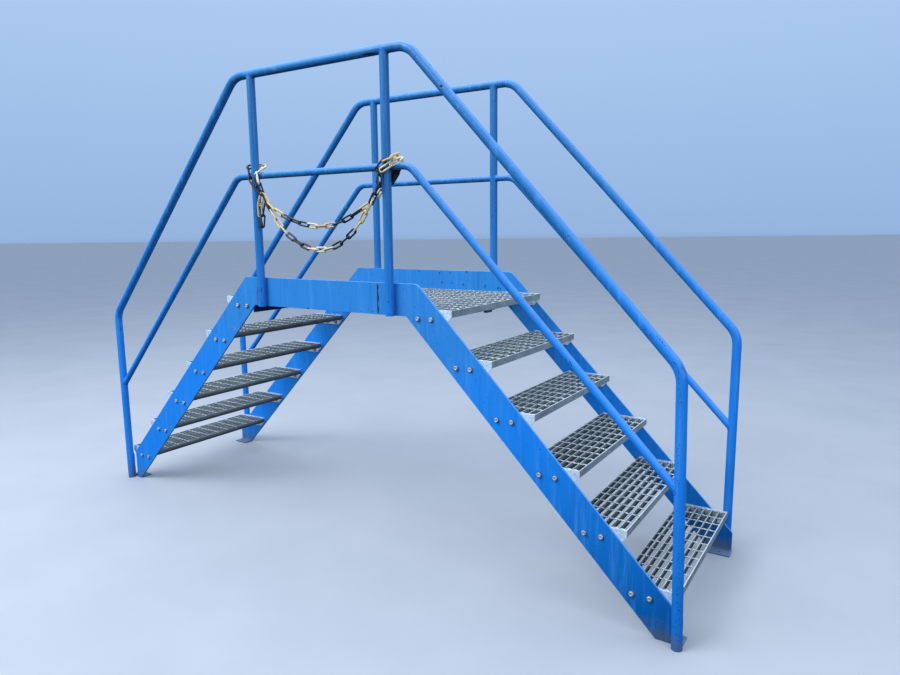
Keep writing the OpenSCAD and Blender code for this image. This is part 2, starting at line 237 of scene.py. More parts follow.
def plate(shape, outline, y0, y1, mat=0, bevel=1.0, band=4.0):
    """A flat bar cut to an outline in XZ (counter-clockwise), between y0 and y1. Its corners are rounded, and the
    vertex value "edge" falls from 1 at the corners to 0 a little way into each face."""
    bm = bmesh.new()
    vs = [bm.verts.new((x, y0, z)) for x, z in outline]
    face = bm.faces.new(vs)
    out = bmesh.ops.extrude_face_region(bm, geom=[face])
    bmesh.ops.translate(bm, verts=[g for g in out["geom"] if isinstance(g, bmesh.types.BMVert)], vec=(0, y1 - y0, 0))
    bmesh.ops.recalc_face_normals(bm, faces=bm.faces)
    sharp = [e for e in bm.edges if len(e.link_faces) == 2 and e.calc_face_angle() > math.radians(9)]
    bmesh.ops.bevel(bm, geom=sharp, offset=bevel, segments=2, profile=0.5, affect="EDGES", clamp_overlap=True)
    bm.normal_update()
    big = [f for f in bm.faces if abs(f.normal.y) > 0.999]
    edge_layer = bm.verts.layers.float.new("edge")
    for v in bm.verts:
        v[edge_layer] = 1.0
    if band:
        for f in big:
            bmesh.ops.inset_region(bm, faces=[f], thickness=band, use_even_offset=True)
        for v in bm.verts:
            v[edge_layer] = 1.0
        for f in big:
            for v in f.verts:
                v[edge_layer] = 0.0
    bm.verts.index_update()
    shape.add([v.co[:] for v in bm.verts], [[v.index for v in f.verts] for f in bm.faces], mat, False,
              [v[edge_layer] for v in bm.verts])
    bm.free()


def bead(shape, points, r=3.0, mat=0, closed=False, seed=0, sides=8, flat=0.85):
    """A weld bead along a line, with the ripples of its runs."""
    rnd = random.Random(seed)
    p = np.asarray(points, float)
    seg = np.linalg.norm(np.diff(np.vstack([p, p[:1]]) if closed else p, axis=0), axis=1)
    along = np.concatenate([[0], np.cumsum(seg)])
    n = max(8, int(along[-1] / 1.9))
    at = np.linspace(0, along[-1], n + (0 if not closed else 1))
    src = np.vstack([p, p[:1]]) if closed else p
    q = np.stack([np.interp(at, along, src[:, k]) for k in range(3)], 1)
    if closed:
        q = q[:-1]
    radii = []
    phase = rnd.random() * 6
    for i in range(len(q)):
        s = at[i]
        radii.append(r * (1 + 0.13 * math.sin(s * 2 * math.pi / 5.6 + phase) + 0.10 * (rnd.random() - 0.5)
                          + 0.10 * math.sin(s / 17.0 + phase)))
    if not closed:
        radii[0] *= 0.45
        radii[-1] *= 0.45
    tube(shape, q, r, sides, mat, caps=not closed, closed=closed, radii=radii)


def ring_on_cylinder(p0, d, r, axis_p, axis_d, big_r, n=40):
    """Where a round bar from p0 along d, of radius r, meets the side of a cylinder."""
    p0, d, axis_p, axis_d = (np.asarray(a, float) for a in (p0, d, axis_p, axis_d))
    d = d / np.linalg.norm(d)
    axis_d = axis_d / np.linalg.norm(axis_d)
    n1 = np.cross(d, axis_d)
    n1 /= np.linalg.norm(n1)
    n2 = np.cross(d, n1)
    out = []
    for k in range(n):
        a = 2 * math.pi * k / n
        q = p0 + r * (math.cos(a) * n1 + math.sin(a) * n2)
        w, dd = q - axis_p, d - axis_d * (d @ axis_d)
        w = w - axis_d * (w @ axis_d)
        aa, bb, cc = dd @ dd, 2 * w @ dd, w @ w - big_r * big_r
        disc = max(bb * bb - 4 * aa * cc, 0.0)
        out.append(q + d * ((-bb - math.sqrt(disc)) / (2 * aa)))
    return out


# ---------------------------------------------------------------------------
# Materials
# ---------------------------------------------------------------------------
class Nodes:
    def __init__(self, name):
        self.mat = bpy.data.materials.new(name)
        self.mat.use_nodes = True
        self.t = self.mat.node_tree
        self.bsdf = self.t.nodes["Principled BSDF"]
        self.out = self.t.nodes["Material Output"]
        self.coord = self.t.nodes.new("ShaderNodeTexCoord").outputs["Object"]

    def new(self, kind, **values):
        n = self.t.nodes.new(kind)
        for k, v in values.items():
            setattr(n, k, v)
        return n

    def link(self, a, b):
        self.t.links.new(a, b)

    def put(self, socket, value):
        if isinstance(value, bpy.types.NodeSocket):
            self.link(value, socket)
        else:
            socket.default_value = value

    def scaled(self, sx, sy, sz, vector=None):
        n = self.new("ShaderNodeMapping")
        n.inputs["Scale"].default_value = (sx, sy, sz)
        self.link(vector or self.coord, n.inputs["Vector"])
        return n.outputs["Vector"]

    def noise(self, scale, detail=3.0, rough=0.55, vector=None, distortion=0.0, out="Fac"):
        n = self.new("ShaderNodeTexNoise")
        self.link(vector or self.coord, n.inputs["Vector"])
        n.inputs["Scale"].default_value = scale
        n.inputs["Detail"].default_value = detail
        n.inputs["Roughness"].default_value = rough
        n.inputs["Distortion"].default_value = distortion
        return n.outputs[out]

    def voronoi(self, scale, feature="F1", out="Distance", vector=None, randomness=1.0):
        n = self.new("ShaderNodeTexVoronoi", feature=feature)
        self.link(vector or self.coord, n.inputs["Vector"])
        n.inputs["Scale"].default_value = scale
        n.inputs["Randomness"].default_value = randomness
        return n.outputs[out]

    def math(self, op, a, b=None, c=None, clamp=False):
        n = self.new("ShaderNodeMath", operation=op, use_clamp=clamp)
        for i, v in enumerate((a, b, c)):
            if v is not None:
                self.put(n.inputs[i], v)
        return n.outputs[0]

    def ramp(self, value, lo, hi, a=0.0, b=1.0, smooth=True):
        n = self.new("ShaderNodeMapRange")
        n.interpolation_type = "SMOOTHSTEP" if smooth else "LINEAR"
        self.put(n.inputs["Value"], value)
        n.inputs["From Min"].default_value, n.inputs["From Max"].default_value = lo, hi
        n.inputs["To Min"].default_value, n.inputs["To Max"].default_value = a, b
        return n.outputs["Result"]

    def mix(self, fac, a, b, blend="MIX"):
        n = self.new("ShaderNodeMix", data_type="RGBA", blend_type=blend)
        self.put(n.inputs[0], fac)
        for socket, value in ((n.inputs[6], a), (n.inputs[7], b)):
            self.put(socket, value if isinstance(value, bpy.types.NodeSocket) else (*value, 1.0))
        return n.outputs[2]

    def height(self, axis="Z"):
        n = self.new("ShaderNodeSeparateXYZ")
        self.link(self.coord, n.inputs[0])
        return n.outputs[axis]

    def near(self, spots, warp=None):
        """1 inside any of the spots (x, y, z, radius in metres), falling to 0 at its rim; warp is not used."""
        best = None
        for x, y, z, r in spots:
            d = self.new("ShaderNodeVectorMath", operation="DISTANCE")
            self.link(self.coord, d.inputs[0])
            d.inputs[1].default_value = (x, y, z)
            v = self.math("SUBTRACT", 1.0, self.math("DIVIDE", d.outputs["Value"], r))
            best = v if best is None else self.math("MAXIMUM", best, v)
        return best

    def bump(self, value, strength, distance, normal=None):
        n = self.new("ShaderNodeBump")
        n.inputs["Strength"].default_value = strength
        n.inputs["Distance"].default_value = distance
        self.link(value, n.inputs["Height"])
        if normal is not None:
            self.link(normal, n.inputs["Normal"])
        return n.outputs["Normal"]

    def done(self, color=None, rough=None, metal=None, normal=None, **constants):
        b = self.bsdf.inputs
        if color is not None:
            self.put(b["Base Color"], color)
        if rough is not None:
            self.put(b["Roughness"], rough)
        if metal is not None:
            self.put(b["Metallic"], metal)
        if normal is not None:
            self.link(normal, b["Normal"])
        for k, v in constants.items():
            b[k.replace("_", " ")].default_value = v
        return self.mat


def paint(name, specks=1.0, tone=1.0, settled=0.0, shine=0.16, high_shade=1.0, high_shade_colour=(0.032, 0.240, 0.640), high_shade_span=(0.72, 1.20), low_right_shade=1.0):
    """Blue enamel: pale run marks, dust where it faces up, dirt near the floor, dark pits and chipped corners; painted
    shade towards the top and low at the right end, and a painted highlight where it faces the sky and along the
    corners.
    """
    k = Nodes(name)
    blue = (0.0150, 0.250 * tone, 0.830 * tone)
    deep = (0.0110, 0.228 * tone, 0.780 * tone)
    big = k.noise(2.1, 4.0, 0.6)
    col = k.mix(k.ramp(big, 0.32, 0.64), deep, blue)
    # chalky patches with a cloudy edge
    chalk_then_low_shade = k.noise(5.0, 6.0, 0.7)
    col = k.mix(k.math("MULTIPLY", k.ramp(chalk_then_low_shade, 0.52, 0.80), 0.06), col, (0.030, 0.270, 0.700))
    z = k.height()
    # painted shade: the enamel is darkened towards the top, where less light falls high up
    high = k.math("ADD", z, k.math("MULTIPLY_ADD", k.noise(3.0, 4.0, 0.6), 0.5, -0.25))
    col = k.mix(k.math("MULTIPLY", k.ramp(high, *high_shade_span), high_shade), col, high_shade_colour)
    # painted shade: darker blue low down at the right end of the right flight, where less light falls
    along = k.height("X")
    chalk_then_low_shade = k.math("MULTIPLY", k.ramp(k.math("MULTIPLY_ADD", k.noise(7.0, 4.0, 0.6), 0.10, z), 0.74, 0.06, smooth=False),
                  k.ramp(along, 0.95, 1.35))
    col = k.mix(k.math("MULTIPLY", chalk_then_low_shade, low_right_shade), col, (0.0005, 0.100, 0.330))
    # pale and dirty streaks that run down the faces
    streak = k.noise(1.0, 5.0, 0.65, k.scaled(36, 36, 2.4))
    col = k.mix(k.math("MULTIPLY", k.ramp(streak, 0.48, 0.74), 0.45), col, (0.085, 0.330, 0.800))
    dark = k.noise(1.0, 4.0, 0.6, k.scaled(60, 60, 3.2))
    col = k.mix(k.math("MULTIPLY", k.ramp(dark, 0.52, 0.74), 0.34), col, (0.004, 0.120, 0.420))
    # painted highlight: the enamel is lightened where it faces the sky, standing in for the sky's reflection; fine dust
    # lies where it is level
    geo = k.new("ShaderNodeNewGeometry")
    up = k.new("ShaderNodeSeparateXYZ")
    k.link(geo.outputs["Normal"], up.inputs[0])
    painted_sky_sheen = k.math("MULTIPLY", k.ramp(up.outputs["Z"], 0.10, 0.85), k.ramp(k.noise(12.0, 5.0, 0.7), 0.25, 0.70, 0.55, 0.85))
    col = k.mix(painted_sky_sheen, col, (0.110, 0.310, 0.760))
    lie = k.math("MULTIPLY", k.ramp(up.outputs["Z"], 0.60, 0.98), k.ramp(k.noise(24.0, 5.0, 0.7), 0.30, 0.70, 0.10 + settled, 0.45 + settled))
    low = k.ramp(z, 0.30, 0.02, 0.35, 1.0)
    lie = k.math("MULTIPLY", lie, low)
    col = k.mix(lie, col, (0.240, 0.350, 0.530))
    # dirt near the floor
    ragged = k.math("MULTIPLY_ADD", k.noise(16.0, 4.0, 0.6), 0.14, z)
    dust = k.math("MULTIPLY", k.ramp(ragged, 0.175, 0.055), 0.80)
    col = k.mix(dust, col, (0.100, 0.120, 0.140))
    # pits and specks: a few cells of two patterns hold a dark dot
    clump = k.ramp(k.noise(4.0, 3.0, 0.5), 0.54, 0.72)
    mask = None
    for scale, share, more, edge0 in ((55.0, 1.0 - 0.008 * specks, 0.012, 0.20), (140.0, 1.0 - 0.0055 * specks, 0.012, 0.32)):
        cell = k.new("ShaderNodeTexVoronoi", feature="F1")
        k.link(k.coord, cell.inputs["Vector"])
        cell.inputs["Scale"].default_value = scale
        pick = k.new("ShaderNodeSeparateColor")
        k.link(cell.outputs["Color"], pick.inputs[0])
        chosen = k.math("GREATER_THAN", k.math("ADD", pick.outputs[0], k.math("MULTIPLY", clump, more * specks)), share)
        wobble = k.math("MULTIPLY_ADD", k.noise(300.0, 3.0, 0.7), 0.25, cell.outputs["Distance"])
        dot = k.math("MULTIPLY", k.ramp(wobble, edge0 + 0.12, edge0 + 0.02), chosen)
        mask = dot if mask is None else k.math("MAXIMUM", mask, dot)
    # chipped corners
    at = k.new("ShaderNodeAttribute", attribute_name="edge")
    rim_noise = k.noise(120.0, 4.0, 0.7)
    patchy = k.noise(4.0, 3.0, 0.6)
    rim = k.math("GREATER_THAN", k.math("ADD", k.math("MULTIPLY", at.outputs["Fac"], 0.42),
                                        k.math("MULTIPLY_ADD", patchy, 0.75, rim_noise)), 1.50)
    mask = k.math("MAXIMUM", mask, k.math("MULTIPLY", rim, k.math("GREATER_THAN", at.outputs["Fac"], 0.02)))
    rust_tone = k.noise(90.0, 5.0, 0.7)
    rust = k.mix(k.ramp(rust_tone, 0.40, 0.66), (0.012, 0.014, 0.022), (0.070, 0.060, 0.060))
    col = k.mix(mask, col, rust)
    # a pale line along the corners: worn enamel, and a painted highlight along the edges
    thin_enamel_and_highlight = k.math("MULTIPLY", k.ramp(at.outputs["Fac"], 0.90, 1.0), k.ramp(k.noise(22.0, 4.0, 0.65), 0.34, 0.62, 0.10, 0.55))
    col = k.mix(thin_enamel_and_highlight, col, (0.140, 0.360, 0.780))
    rough = k.math("MULTIPLY_ADD", k.noise(30.0, 4.0, 0.6), 0.08, 0.32)
    rough = k.math("ADD", rough, k.math("MULTIPLY", k.math("MAXIMUM", dust, lie), 0.45))
    rough = k.math("MAXIMUM", rough, k.math("MULTIPLY", mask, 0.85))
    peel = k.noise(420.0, 2.0, 0.5)
    wave = k.noise(26.0, 2.0, 0.5)
    h = k.math("ADD", k.math("MULTIPLY", peel, 0.12), k.math("MULTIPLY", wave, 0.28))
    h = k.math("SUBTRACT", h, k.math("MULTIPLY", mask, 1.2))
    normal = k.bump(h, 0.5, 0.0006)
    return k.done(col, rough, 0.0, normal, IOR=1.38, Specular_IOR_Level=shine)


def zinc(name, base, light, glint, spangle=0.35, dirt=0.35, metal=0.5, rough0=0.38, deep=0.0):
    """Weathered hot-dip zinc: cloudy, with small crystals, dark grime and a little brown. With deep, the lower part of
    a bar is darkened by the vertex value "edge": painted shade, where the cells between the bars lie in shade."""
    k = Nodes(name)
    big = k.noise(14.0, 4.0, 0.6)
    col = k.mix(k.ramp(big, 0.35, 0.68), base, light)
    cell = k.voronoi(150.0, out="Color", vector=None)
    s = k.new("ShaderNodeSeparateColor")
    k.link(cell, s.inputs[0])
    col = k.mix(k.math("MULTIPLY", s.outputs[0], spangle), col, glint)
    blotch = k.noise(75.0, 5.0, 0.75, distortion=0.6)
    col = k.mix(k.math("MULTIPLY", k.ramp(blotch, 0.52, 0.70), spangle * 0.9), col, glint)
    col = k.mix(k.math("MULTIPLY", k.ramp(blotch, 0.47, 0.32), dirt), col, (0.085, 0.100, 0.105))
    brown = k.noise(5.0, 5.0, 0.65)
    col = k.mix(k.math("MULTIPLY", k.ramp(brown, 0.60, 0.80), dirt * 0.8), col, (0.150, 0.135, 0.095))
    # painted shade: darker towards the bottom of each bar
    if deep:
        at = k.new("ShaderNodeAttribute", attribute_name="edge")
        col = k.mix(k.math("MULTIPLY", k.ramp(at.outputs["Fac"], 0.05, 0.85), deep), col, (0.016, 0.022, 0.027))
    rough = k.math("MULTIPLY_ADD", k.noise(60.0, 4.0, 0.7), 0.30, rough0)
    h = k.math("ADD", k.noise(260.0, 4.0, 0.7), k.math("MULTIPLY", k.noise(40.0, 3.0, 0.6), 1.5))
    return k.done(col, rough, None, k.bump(h, 0.5, 0.0004), Metallic=metal)


def steel(name, color=(0.62, 0.63, 0.63), dirt=0.4, metal=0.7):
    k = Nodes(name)
    n = k.noise(210.0, 5.0, 0.7)
    col = k.mix(k.math("MULTIPLY", k.ramp(n, 0.45, 0.70), dirt), color, tuple(0.3 * c for c in color))
    n2 = k.noise(55.0, 4.0, 0.6)
    col = k.mix(k.ramp(n2, 0.35, 0.7), col, (0.78, 0.80, 0.82), "MULTIPLY")
    rough = k.math("MULTIPLY_ADD", n, 0.35, 0.26)
    return k.done(col, rough, None, k.bump(k.noise(700.0, 3.0, 0.6), 0.35, 0.0002), Metallic=metal)


def plastic(name, color, worn, dirt):
    k = Nodes(name)
    n = k.noise(38.0, 5.0, 0.65)
    col = k.mix(k.ramp(n, 0.36, 0.68), color, worn)
    n2 = k.noise(17.0, 5.0, 0.7)
    col = k.mix(k.math("MULTIPLY", k.ramp(n2, 0.52, 0.72), 0.65), col, dirt)
    fine = k.noise(420.0, 4.0, 0.7)
    col = k.mix(k.math("MULTIPLY", k.ramp(fine, 0.62, 0.75), 0.4), col, worn)
    rough = k.math("MULTIPLY_ADD", n, 0.25, 0.36)
    return k.done(col, rough, 0.0, k.bump(fine, 0.3, 0.0003), Specular_IOR_Level=0.4)


def bare(name, dark, light, scale=160.0, rough=0.8):
    """What shows where the enamel is gone."""
    k = Nodes(name)
    n = k.noise(scale, 5.0, 0.72)
    col = k.mix(k.ramp(n, 0.36, 0.66), dark, light)
    return k.done(col, k.math("MULTIPLY_ADD", n, 0.2, rough - 0.1), 0.0, k.bump(n, 0.7, 0.0005), Specular_IOR_Level=0.25)


BLUE = paint("blue_paint", 3.6)
# the tubes: strong painted shade towards the top, and a little painted shade low at the right end
BLUE_LEG = paint("blue_paint_tube", 1.3, 0.97, 0.0, 0.36, 0.85, (0.016, 0.142, 0.345), (0.75, 1.95), 0.35)
BLUE_FOOT = paint("blue_paint_foot", 1.6, 0.9, 0.45, 0.25, low_right_shade=0.0)
# the bearers and ledges under the platform: enamel toned nearly to black, painted shade where they lie under the
# platform
BLUE_PAINTED_SHADE_UNDER = paint("blue_paint_painted_shade_under", 1.6, 0.22, 0.0, 0.05, 0.0)
ZINC = zinc("galvanised_bar", (0.20, 0.245, 0.250), (0.30, 0.350, 0.355), (0.42, 0.47, 0.48), 0.28, 0.40, 0.25, 0.38, 0.80)
ZINC_NOSE = zinc("galvanised_nosing", (0.24, 0.30, 0.32), (0.36, 0.43, 0.46), (0.50, 0.57, 0.60), 0.35, 0.40, 0.4)
# the rods' zinc is lighter than the bars': partly a painted highlight, for the glints along their twist
ZINC_ROD = zinc("galvanised_rod", (0.30, 0.365, 0.39), (0.46, 0.535, 0.57), (0.64, 0.72, 0.76), 0.45, 0.28, 0.30, 0.36)
ZINC_TOP = zinc("galvanised_trodden", (0.40, 0.475, 0.505), (0.56, 0.645, 0.685), (0.74, 0.82, 0.86), 0.45, 0.25, 0.30, 0.34)
ZINC_END = zinc("galvanised_plate", (0.40, 0.53, 0.64), (0.58, 0.72, 0.82), (0.84, 0.93, 0.99), 0.80, 0.30, 0.25)
BOLT = steel("zinc_bolt", (0.55, 0.62, 0.66), 0.45, 0.5)
# the washers are near black: dirt, and a painted shadow ring round each bolt head; the clip under the top step uses the
# same dark colour
WASHER = steel("dark_washer_dirt_and_shade", (0.075, 0.105, 0.140), 0.6, 0.3)
RUST = bare("rusty_weld", (0.010, 0.018, 0.034), (0.060, 0.058, 0.066), 70.0)
HOLE_DARK_DISC = bare("hole_dark_disc", (0.006, 0.008, 0.012), (0.045, 0.046, 0.050), 900.0)
DARK = bare("bare_dark", (0.006, 0.010, 0.022), (0.035, 0.040, 0.055), 260.0)
BROWN = bare("bare_rust", (0.060, 0.042, 0.030), (0.230, 0.150, 0.090), 140.0)
FAINT = bare("worn_thin", (0.010, 0.050, 0.170), (0.050, 0.105, 0.220), 260.0, 0.6)
SCUFF = bare("scuffed_paint", (0.075, 0.150, 0.290), (0.290, 0.360, 0.440), 300.0, 0.6)
# the yellow links come in four tones: the plain one is the plastic; the pale and cream ones are lighter copies, a
# painted highlight where light falls on a link, and the orange one is a darker copy, painted shade with some dirt
YELLOW = plastic("faded_yellow", (0.64, 0.47, 0.165), (0.70, 0.56, 0.27), (0.40, 0.25, 0.10))
PALE_LIT_YELLOW = plastic("pale_yellow_painted_highlight", (0.62, 0.55, 0.32), (0.70, 0.65, 0.44), (0.44, 0.32, 0.16))
ORANGE_SHADED_YELLOW = plastic("dirty_yellow_painted_shade", (0.60, 0.36, 0.12), (0.68, 0.48, 0.21), (0.32, 0.17, 0.07))
CREAM_LIT_YELLOW = plastic("faded_cream_painted_highlight", (0.80, 0.66, 0.41), (0.84, 0.74, 0.52), (0.58, 0.43, 0.22))
BLACK = plastic("faded_black", (0.006, 0.010, 0.016), (0.020, 0.027, 0.038), (0.034, 0.036, 0.040))

# ---------------------------------------------------------------------------
# Barrier chain, one length: it hangs between the near posts twice, is wound
# round each post over the mid rail, and ends in a loop at the left post
# ---------------------------------------------------------------------------
CHAIN_R, LINK_PITCH, LINK_WIRE, LINK_WIDTH = 14.0, 55.0, 9.0, 28.0
# P, O and C pick the lighter and darker copies of the yellow: painted highlight and painted shade on single links
Y, P, O, K_, C = 0, 1, 2, 3, 4
# where each link meets the next: x, y, z, then the link that leads there: its colour and its turn about its own
# length, where 0 lies flat to the front right and 90 stands edge on
TIE = (-358, -508, 1777)
CHAIN = [
    (*TIE, 0, 0),
    # the upper hanging length, left to right
    (-323, -503, 1731, Y, 20), (-284, -498, 1698, Y, 90), (-232, -494, 1670, Y, 35), (-179, -490, 1648, K_, -50),
    (-125, -487, 1631, K_, 55), (-72, -483, 1619, K_, -35), (-17, -480, 1613, P, 25), (38, -476, 1614, O, 80),
    (92, -473, 1621, O, 5), (145, -469, 1636, K_, 90), (197, -466, 1659, K_, 15), (249, -462, 1686, K_, 75),
    (301, -458, 1714, Y, 40), (340, -455, 1740, P, 90), (369, -451, 1775, C, 40),
    # turns round the right post
    (399, -470, 1815, K_, 5), (394, -511, 1858, K_, 65), (437, -515, 1895, K_, 0), (482, -521, 1904, Y, 90),
    (488, -481, 1917, Y, 30), (479, -452, 1883, Y, 60), (456, -456, 1842, K_, 0), (434, -462, 1805, K_, 80),
    (442, -449, 1855, K_, 15), (424, -452, 1802, K_, 75), (458, -448, 1848, K_, 20), (480, -450, 1890, K_, 70),
    (517, -492, 1898, C, 60), (469, -510, 1879, C, 5), (415, -514, 1853, C, 8),
    # the lower hanging length, right to left
    (408, -522, 1798, K_, 12), (385, -521, 1753, K_, 80), (358, -520, 1712, K_, 20), (326, -519, 1672, Y, 65),
    (293, -518, 1630, Y, 8), (256, -517, 1592, Y, 88), (212, -515, 1561, K_, 10), (170, -514, 1535, K_, 85),
    (117, -513, 1513, K_, 5), (64, -512, 1503, P, 92), (8, -511, 1502, P, 0), (-43, -510, 1508, P, 86),
    (-94, -508, 1524, K_, 8), (-144, -507, 1549, K_, 70), (-193, -506, 1577, K_, 12), (-233, -505, 1612, Y, 90),
    (-270, -504, 1652, Y, 5), (-308, -503, 1694, Y, 88), (-335, -504, 1731, K_, 70), (*TIE, K_, 85),
    # turns round the left post
    (-398, -516, 1816, K_, 40), (-437, -512, 1862, K_, 0), (-458, -503, 1915, K_, 80), (-447, -451, 1928, K_, 30),
    (-402, -447, 1924, Y, 60), (-364, -484, 1908, P, 30), (-388, -512, 1882, C, 90), (-371, -516, 1831, C, 85),
    (*TIE, K_, 5),
    # the loop that hangs from them
    (-374, -513, 1724, Y, 0), (-374, -512, 1668, Y, 5), (-359, -517, 1615, K_, 80), (-360, -508, 1671, K_, 0),
    (-346, -506, 1727, K_, 85)]
CAMERA_MM = np.array(camera.matrix_world.translation) / MM


def link(shape, a, b, turn, mat):
    """One rigid link between the joints a and b."""
    a, b = np.asarray(a, float), np.asarray(b, float)
    mid, d = (a + b) / 2, b - a
    apart = np.linalg.norm(d)
    d /= apart
    flat = CAMERA_MM - mid
    flat -= d * (flat @ d)
    flat /= np.linalg.norm(flat)
    other = np.cross(d, flat)
    turn = math.radians(turn)
    normal = flat * math.cos(turn) + other * math.sin(turn)
    across = np.cross(normal, d)
    rc = (LINK_WIDTH - LINK_WIRE) / 2
    inside = min(max(apart, LINK_PITCH - 4), LINK_PITCH + 3)
    half = (inside + LINK_WIRE) / 2 - rc
    path = []
    for s, base in ((1, 0.0), (-1, math.pi)):
        for q in range(13):
            t = base - math.pi / 2 + math.pi * q / 12
            path.append(mid + d * (s * half + rc * math.cos(t)) + across * (rc * math.sin(t)))
    tube(shape, path, LINK_WIRE / 2, 12, mat, closed=True, up=normal)
    # the moulding seam round the outside of the link
    seam = [mid + (p - mid) * 1.0 + 0.0 * normal for p in path]
    tube(shape, [mid + (p - mid) * (1 + 3.55 / max(np.linalg.norm(p - mid), 1.0)) for p in seam], 0.55, 5, mat, closed=True, up=normal)


rnd = random.Random(5)
s = Shape()
joints = [np.array(q[:3], float) for q in CHAIN]
route = []
for i in range(1, len(CHAIN)):
    link(s, joints[i - 1], joints[i], CHAIN[i][4] + rnd.uniform(-5, 5), CHAIN[i][3])
    route += [joints[i - 1] + (joints[i] - joints[i - 1]) * t / 6 for t in range(6)]
route.append(joints[-1])
chain_piece = s.make("chain_links", [YELLOW, PALE_LIT_YELLOW, ORANGE_SHADED_YELLOW, BLACK, CREAM_LIT_YELLOW],
                     ["chain_upper", "chain_lower", "chain_knot_left", "chain_knot_right"])

# ---------------------------------------------------------------------------
# Stringers and side plates
# ---------------------------------------------------------------------------
def stringer_outline(seam, toe, rounded, out):
    top = (upper_x(SIDE_TOP) + out, SIDE_TOP)
    cut = CORNER_R * math.tan(ANG / 2)
    corner = [top]
    if rounded:
        c = (top[0] - cut, SIDE_TOP - CORNER_R)
        corner = [(c[0] + CORNER_R * math.cos(math.pi / 2 - ANG * i / 8), c[1] + CORNER_R * math.sin(math.pi / 2 - ANG * i / 8))
                  for i in range(9)][::-1]
    return [(seam, SIDE_BOTTOM), (KNEE_X + out, SIDE_BOTTOM), (lower_x(0) + out, 0.0), (toe, 0.0),
            (toe, (upper_x(0) + out - toe) * SLOPE), *corner, (seam, SIDE_TOP)]


for side_name, sy in (("near", -1), ("far", 1)):
    y0, y1 = (-FACE_OUT, -FACE_IN) if sy < 0 else (FACE_IN, FACE_OUT)
    for hand, sx in (("left", -1), ("right", 1)):
        toe = SHORT_TOE_X if (side_name, hand) == ("near", "left") else TOE_X
        pts = stringer_outline(SEAM_L if sx < 0 else SEAM_R, toe, sx > 0, STRINGER_OUT[sy, sx])
        if sx < 0:
            pts = [(-x, z) for x, z in pts][::-1]
        s = Shape()
        plate(s, pts, y0, y1)
        s.make(f"flat_bar_{side_name}_{hand}", [BLUE], [f"stringer_{side_name}_{hand}"])
    s = Shape()
    plate(s, [(-SEAM_L, SIDE_BOTTOM), (SEAM_R, SIDE_BOTTOM), (SEAM_R, SIDE_TOP), (-SEAM_L, SIDE_TOP)], y0, y1)
    s.make(f"side_flat_{side_name}", [BLUE], [f"platform_side_{side_name}"])

# ---------------------------------------------------------------------------
# Gratings
# ---------------------------------------------------------------------------
W = FACE_IN - END_T


def twisted_rod(shape, x0, x1, y, z_top, seed, mat=1):
    """A square cross rod, twisted, sunk flush into the bars."""
    rnd = random.Random(seed)
    n = max(8, int((x1 - x0) / 3.6))
    phase = rnd.random() * math.pi
    half = ROD_D / 2 * 0.98
    rings = []
    for i in range(n + 1):
        t = i / n
        x = x0 + (x1 - x0) * t
        a = phase + (x1 - x0) * t / 27.0 * math.pi / 2
        rings.append([(x, y + half * math.cos(a + q * math.pi / 2), z_top - ROD_D / 2 - 0.1 + half * math.sin(a + q * math.pi / 2))
                      for q in range(4)])
    v = [p for ring in rings for p in ring]
    f = [(i * 4 + q, i * 4 + (q + 1) % 4, i * 4 + 4 + (q + 1) % 4, i * 4 + 4 + q) for i in range(n) for q in range(4)]
    shape.add(v, f, mat, False)


def bar_y(shape, x, t, z_top, w0, w1, mat=0, h=BAR_H, skew=0.0):
    """A bearing bar across the width, its top corners dressed; its far end lags by skew."""
    c = 0.5
    prof = [(x, z_top - h), (x + t, z_top - h), (x + t, z_top - c), (x + t - c, z_top), (x + c, z_top), (x, z_top - c)]
    v = [(px, w0, pz) for px, pz in prof] + [(px - skew, w1, pz) for px, pz in prof]
    n = len(prof)
    f = [tuple(range(n)), tuple(range(2 * n - 1, n - 1, -1))] + [(i, i + n, (i + 1) % n + n, (i + 1) % n) for i in (0, 1, 5)]
    # the bottom corners get "edge" 1, which the bar's zinc turns darker as painted shade
    shape.add(v, f, mat, edge=([1.0, 1.0] + [0.0] * 4) * 2)
    # the trodden top and its two dressed corners
    shape.add(v, [(i, i + n, (i + 1) % n + n, (i + 1) % n) for i in (2, 3, 4)], 3 if mat != 1 else mat)


def end_plate(shape, x_nose, z_top, y0, y1, mat):
    c = END_H - BAR_H
    rear = x_nose - DEPTH
    plate(shape, [(rear, z_top), (rear, z_top - BAR_H), (rear + c, z_top - END_H), (x_nose - c, z_top - END_H),
                  (x_nose, z_top - BAR_H), (x_nose, z_top)], y0, y1, mat, 0.6, 0)


def rod_rows(w):
    n = int(math.floor(w / ROD_PITCH + 0.5))
    return [(i + 0.5) * ROD_PITCH for i in range(-n, n)]


def press_weld(shape, x, y, z_top, seed, mat=0):
    """The lump of zinc where a rod is pressed into a bar."""
    rnd = random.Random(seed)
    rx, ry, rz = 2.6 + rnd.random(), 5.2 + rnd.random() * 1.2, 1.9
    ring0 = [(x + rx * math.cos(a) * 1.2, y + ry * math.sin(a), z_top - 2.2) for a in np.arange(6) / 6 * 2 * math.pi]
    ring1 = [(x + rx * math.cos(a) * 0.8, y + ry * math.sin(a) * 0.7, z_top - 0.15) for a in np.arange(6) / 6 * 2 * math.pi]
    f = [(i, (i + 1) % 6, 6 + (i + 1) % 6, 6 + i) for i in range(6)] + [tuple(range(6, 12))]
    shape.add(ring0 + ring1, f, mat, False)


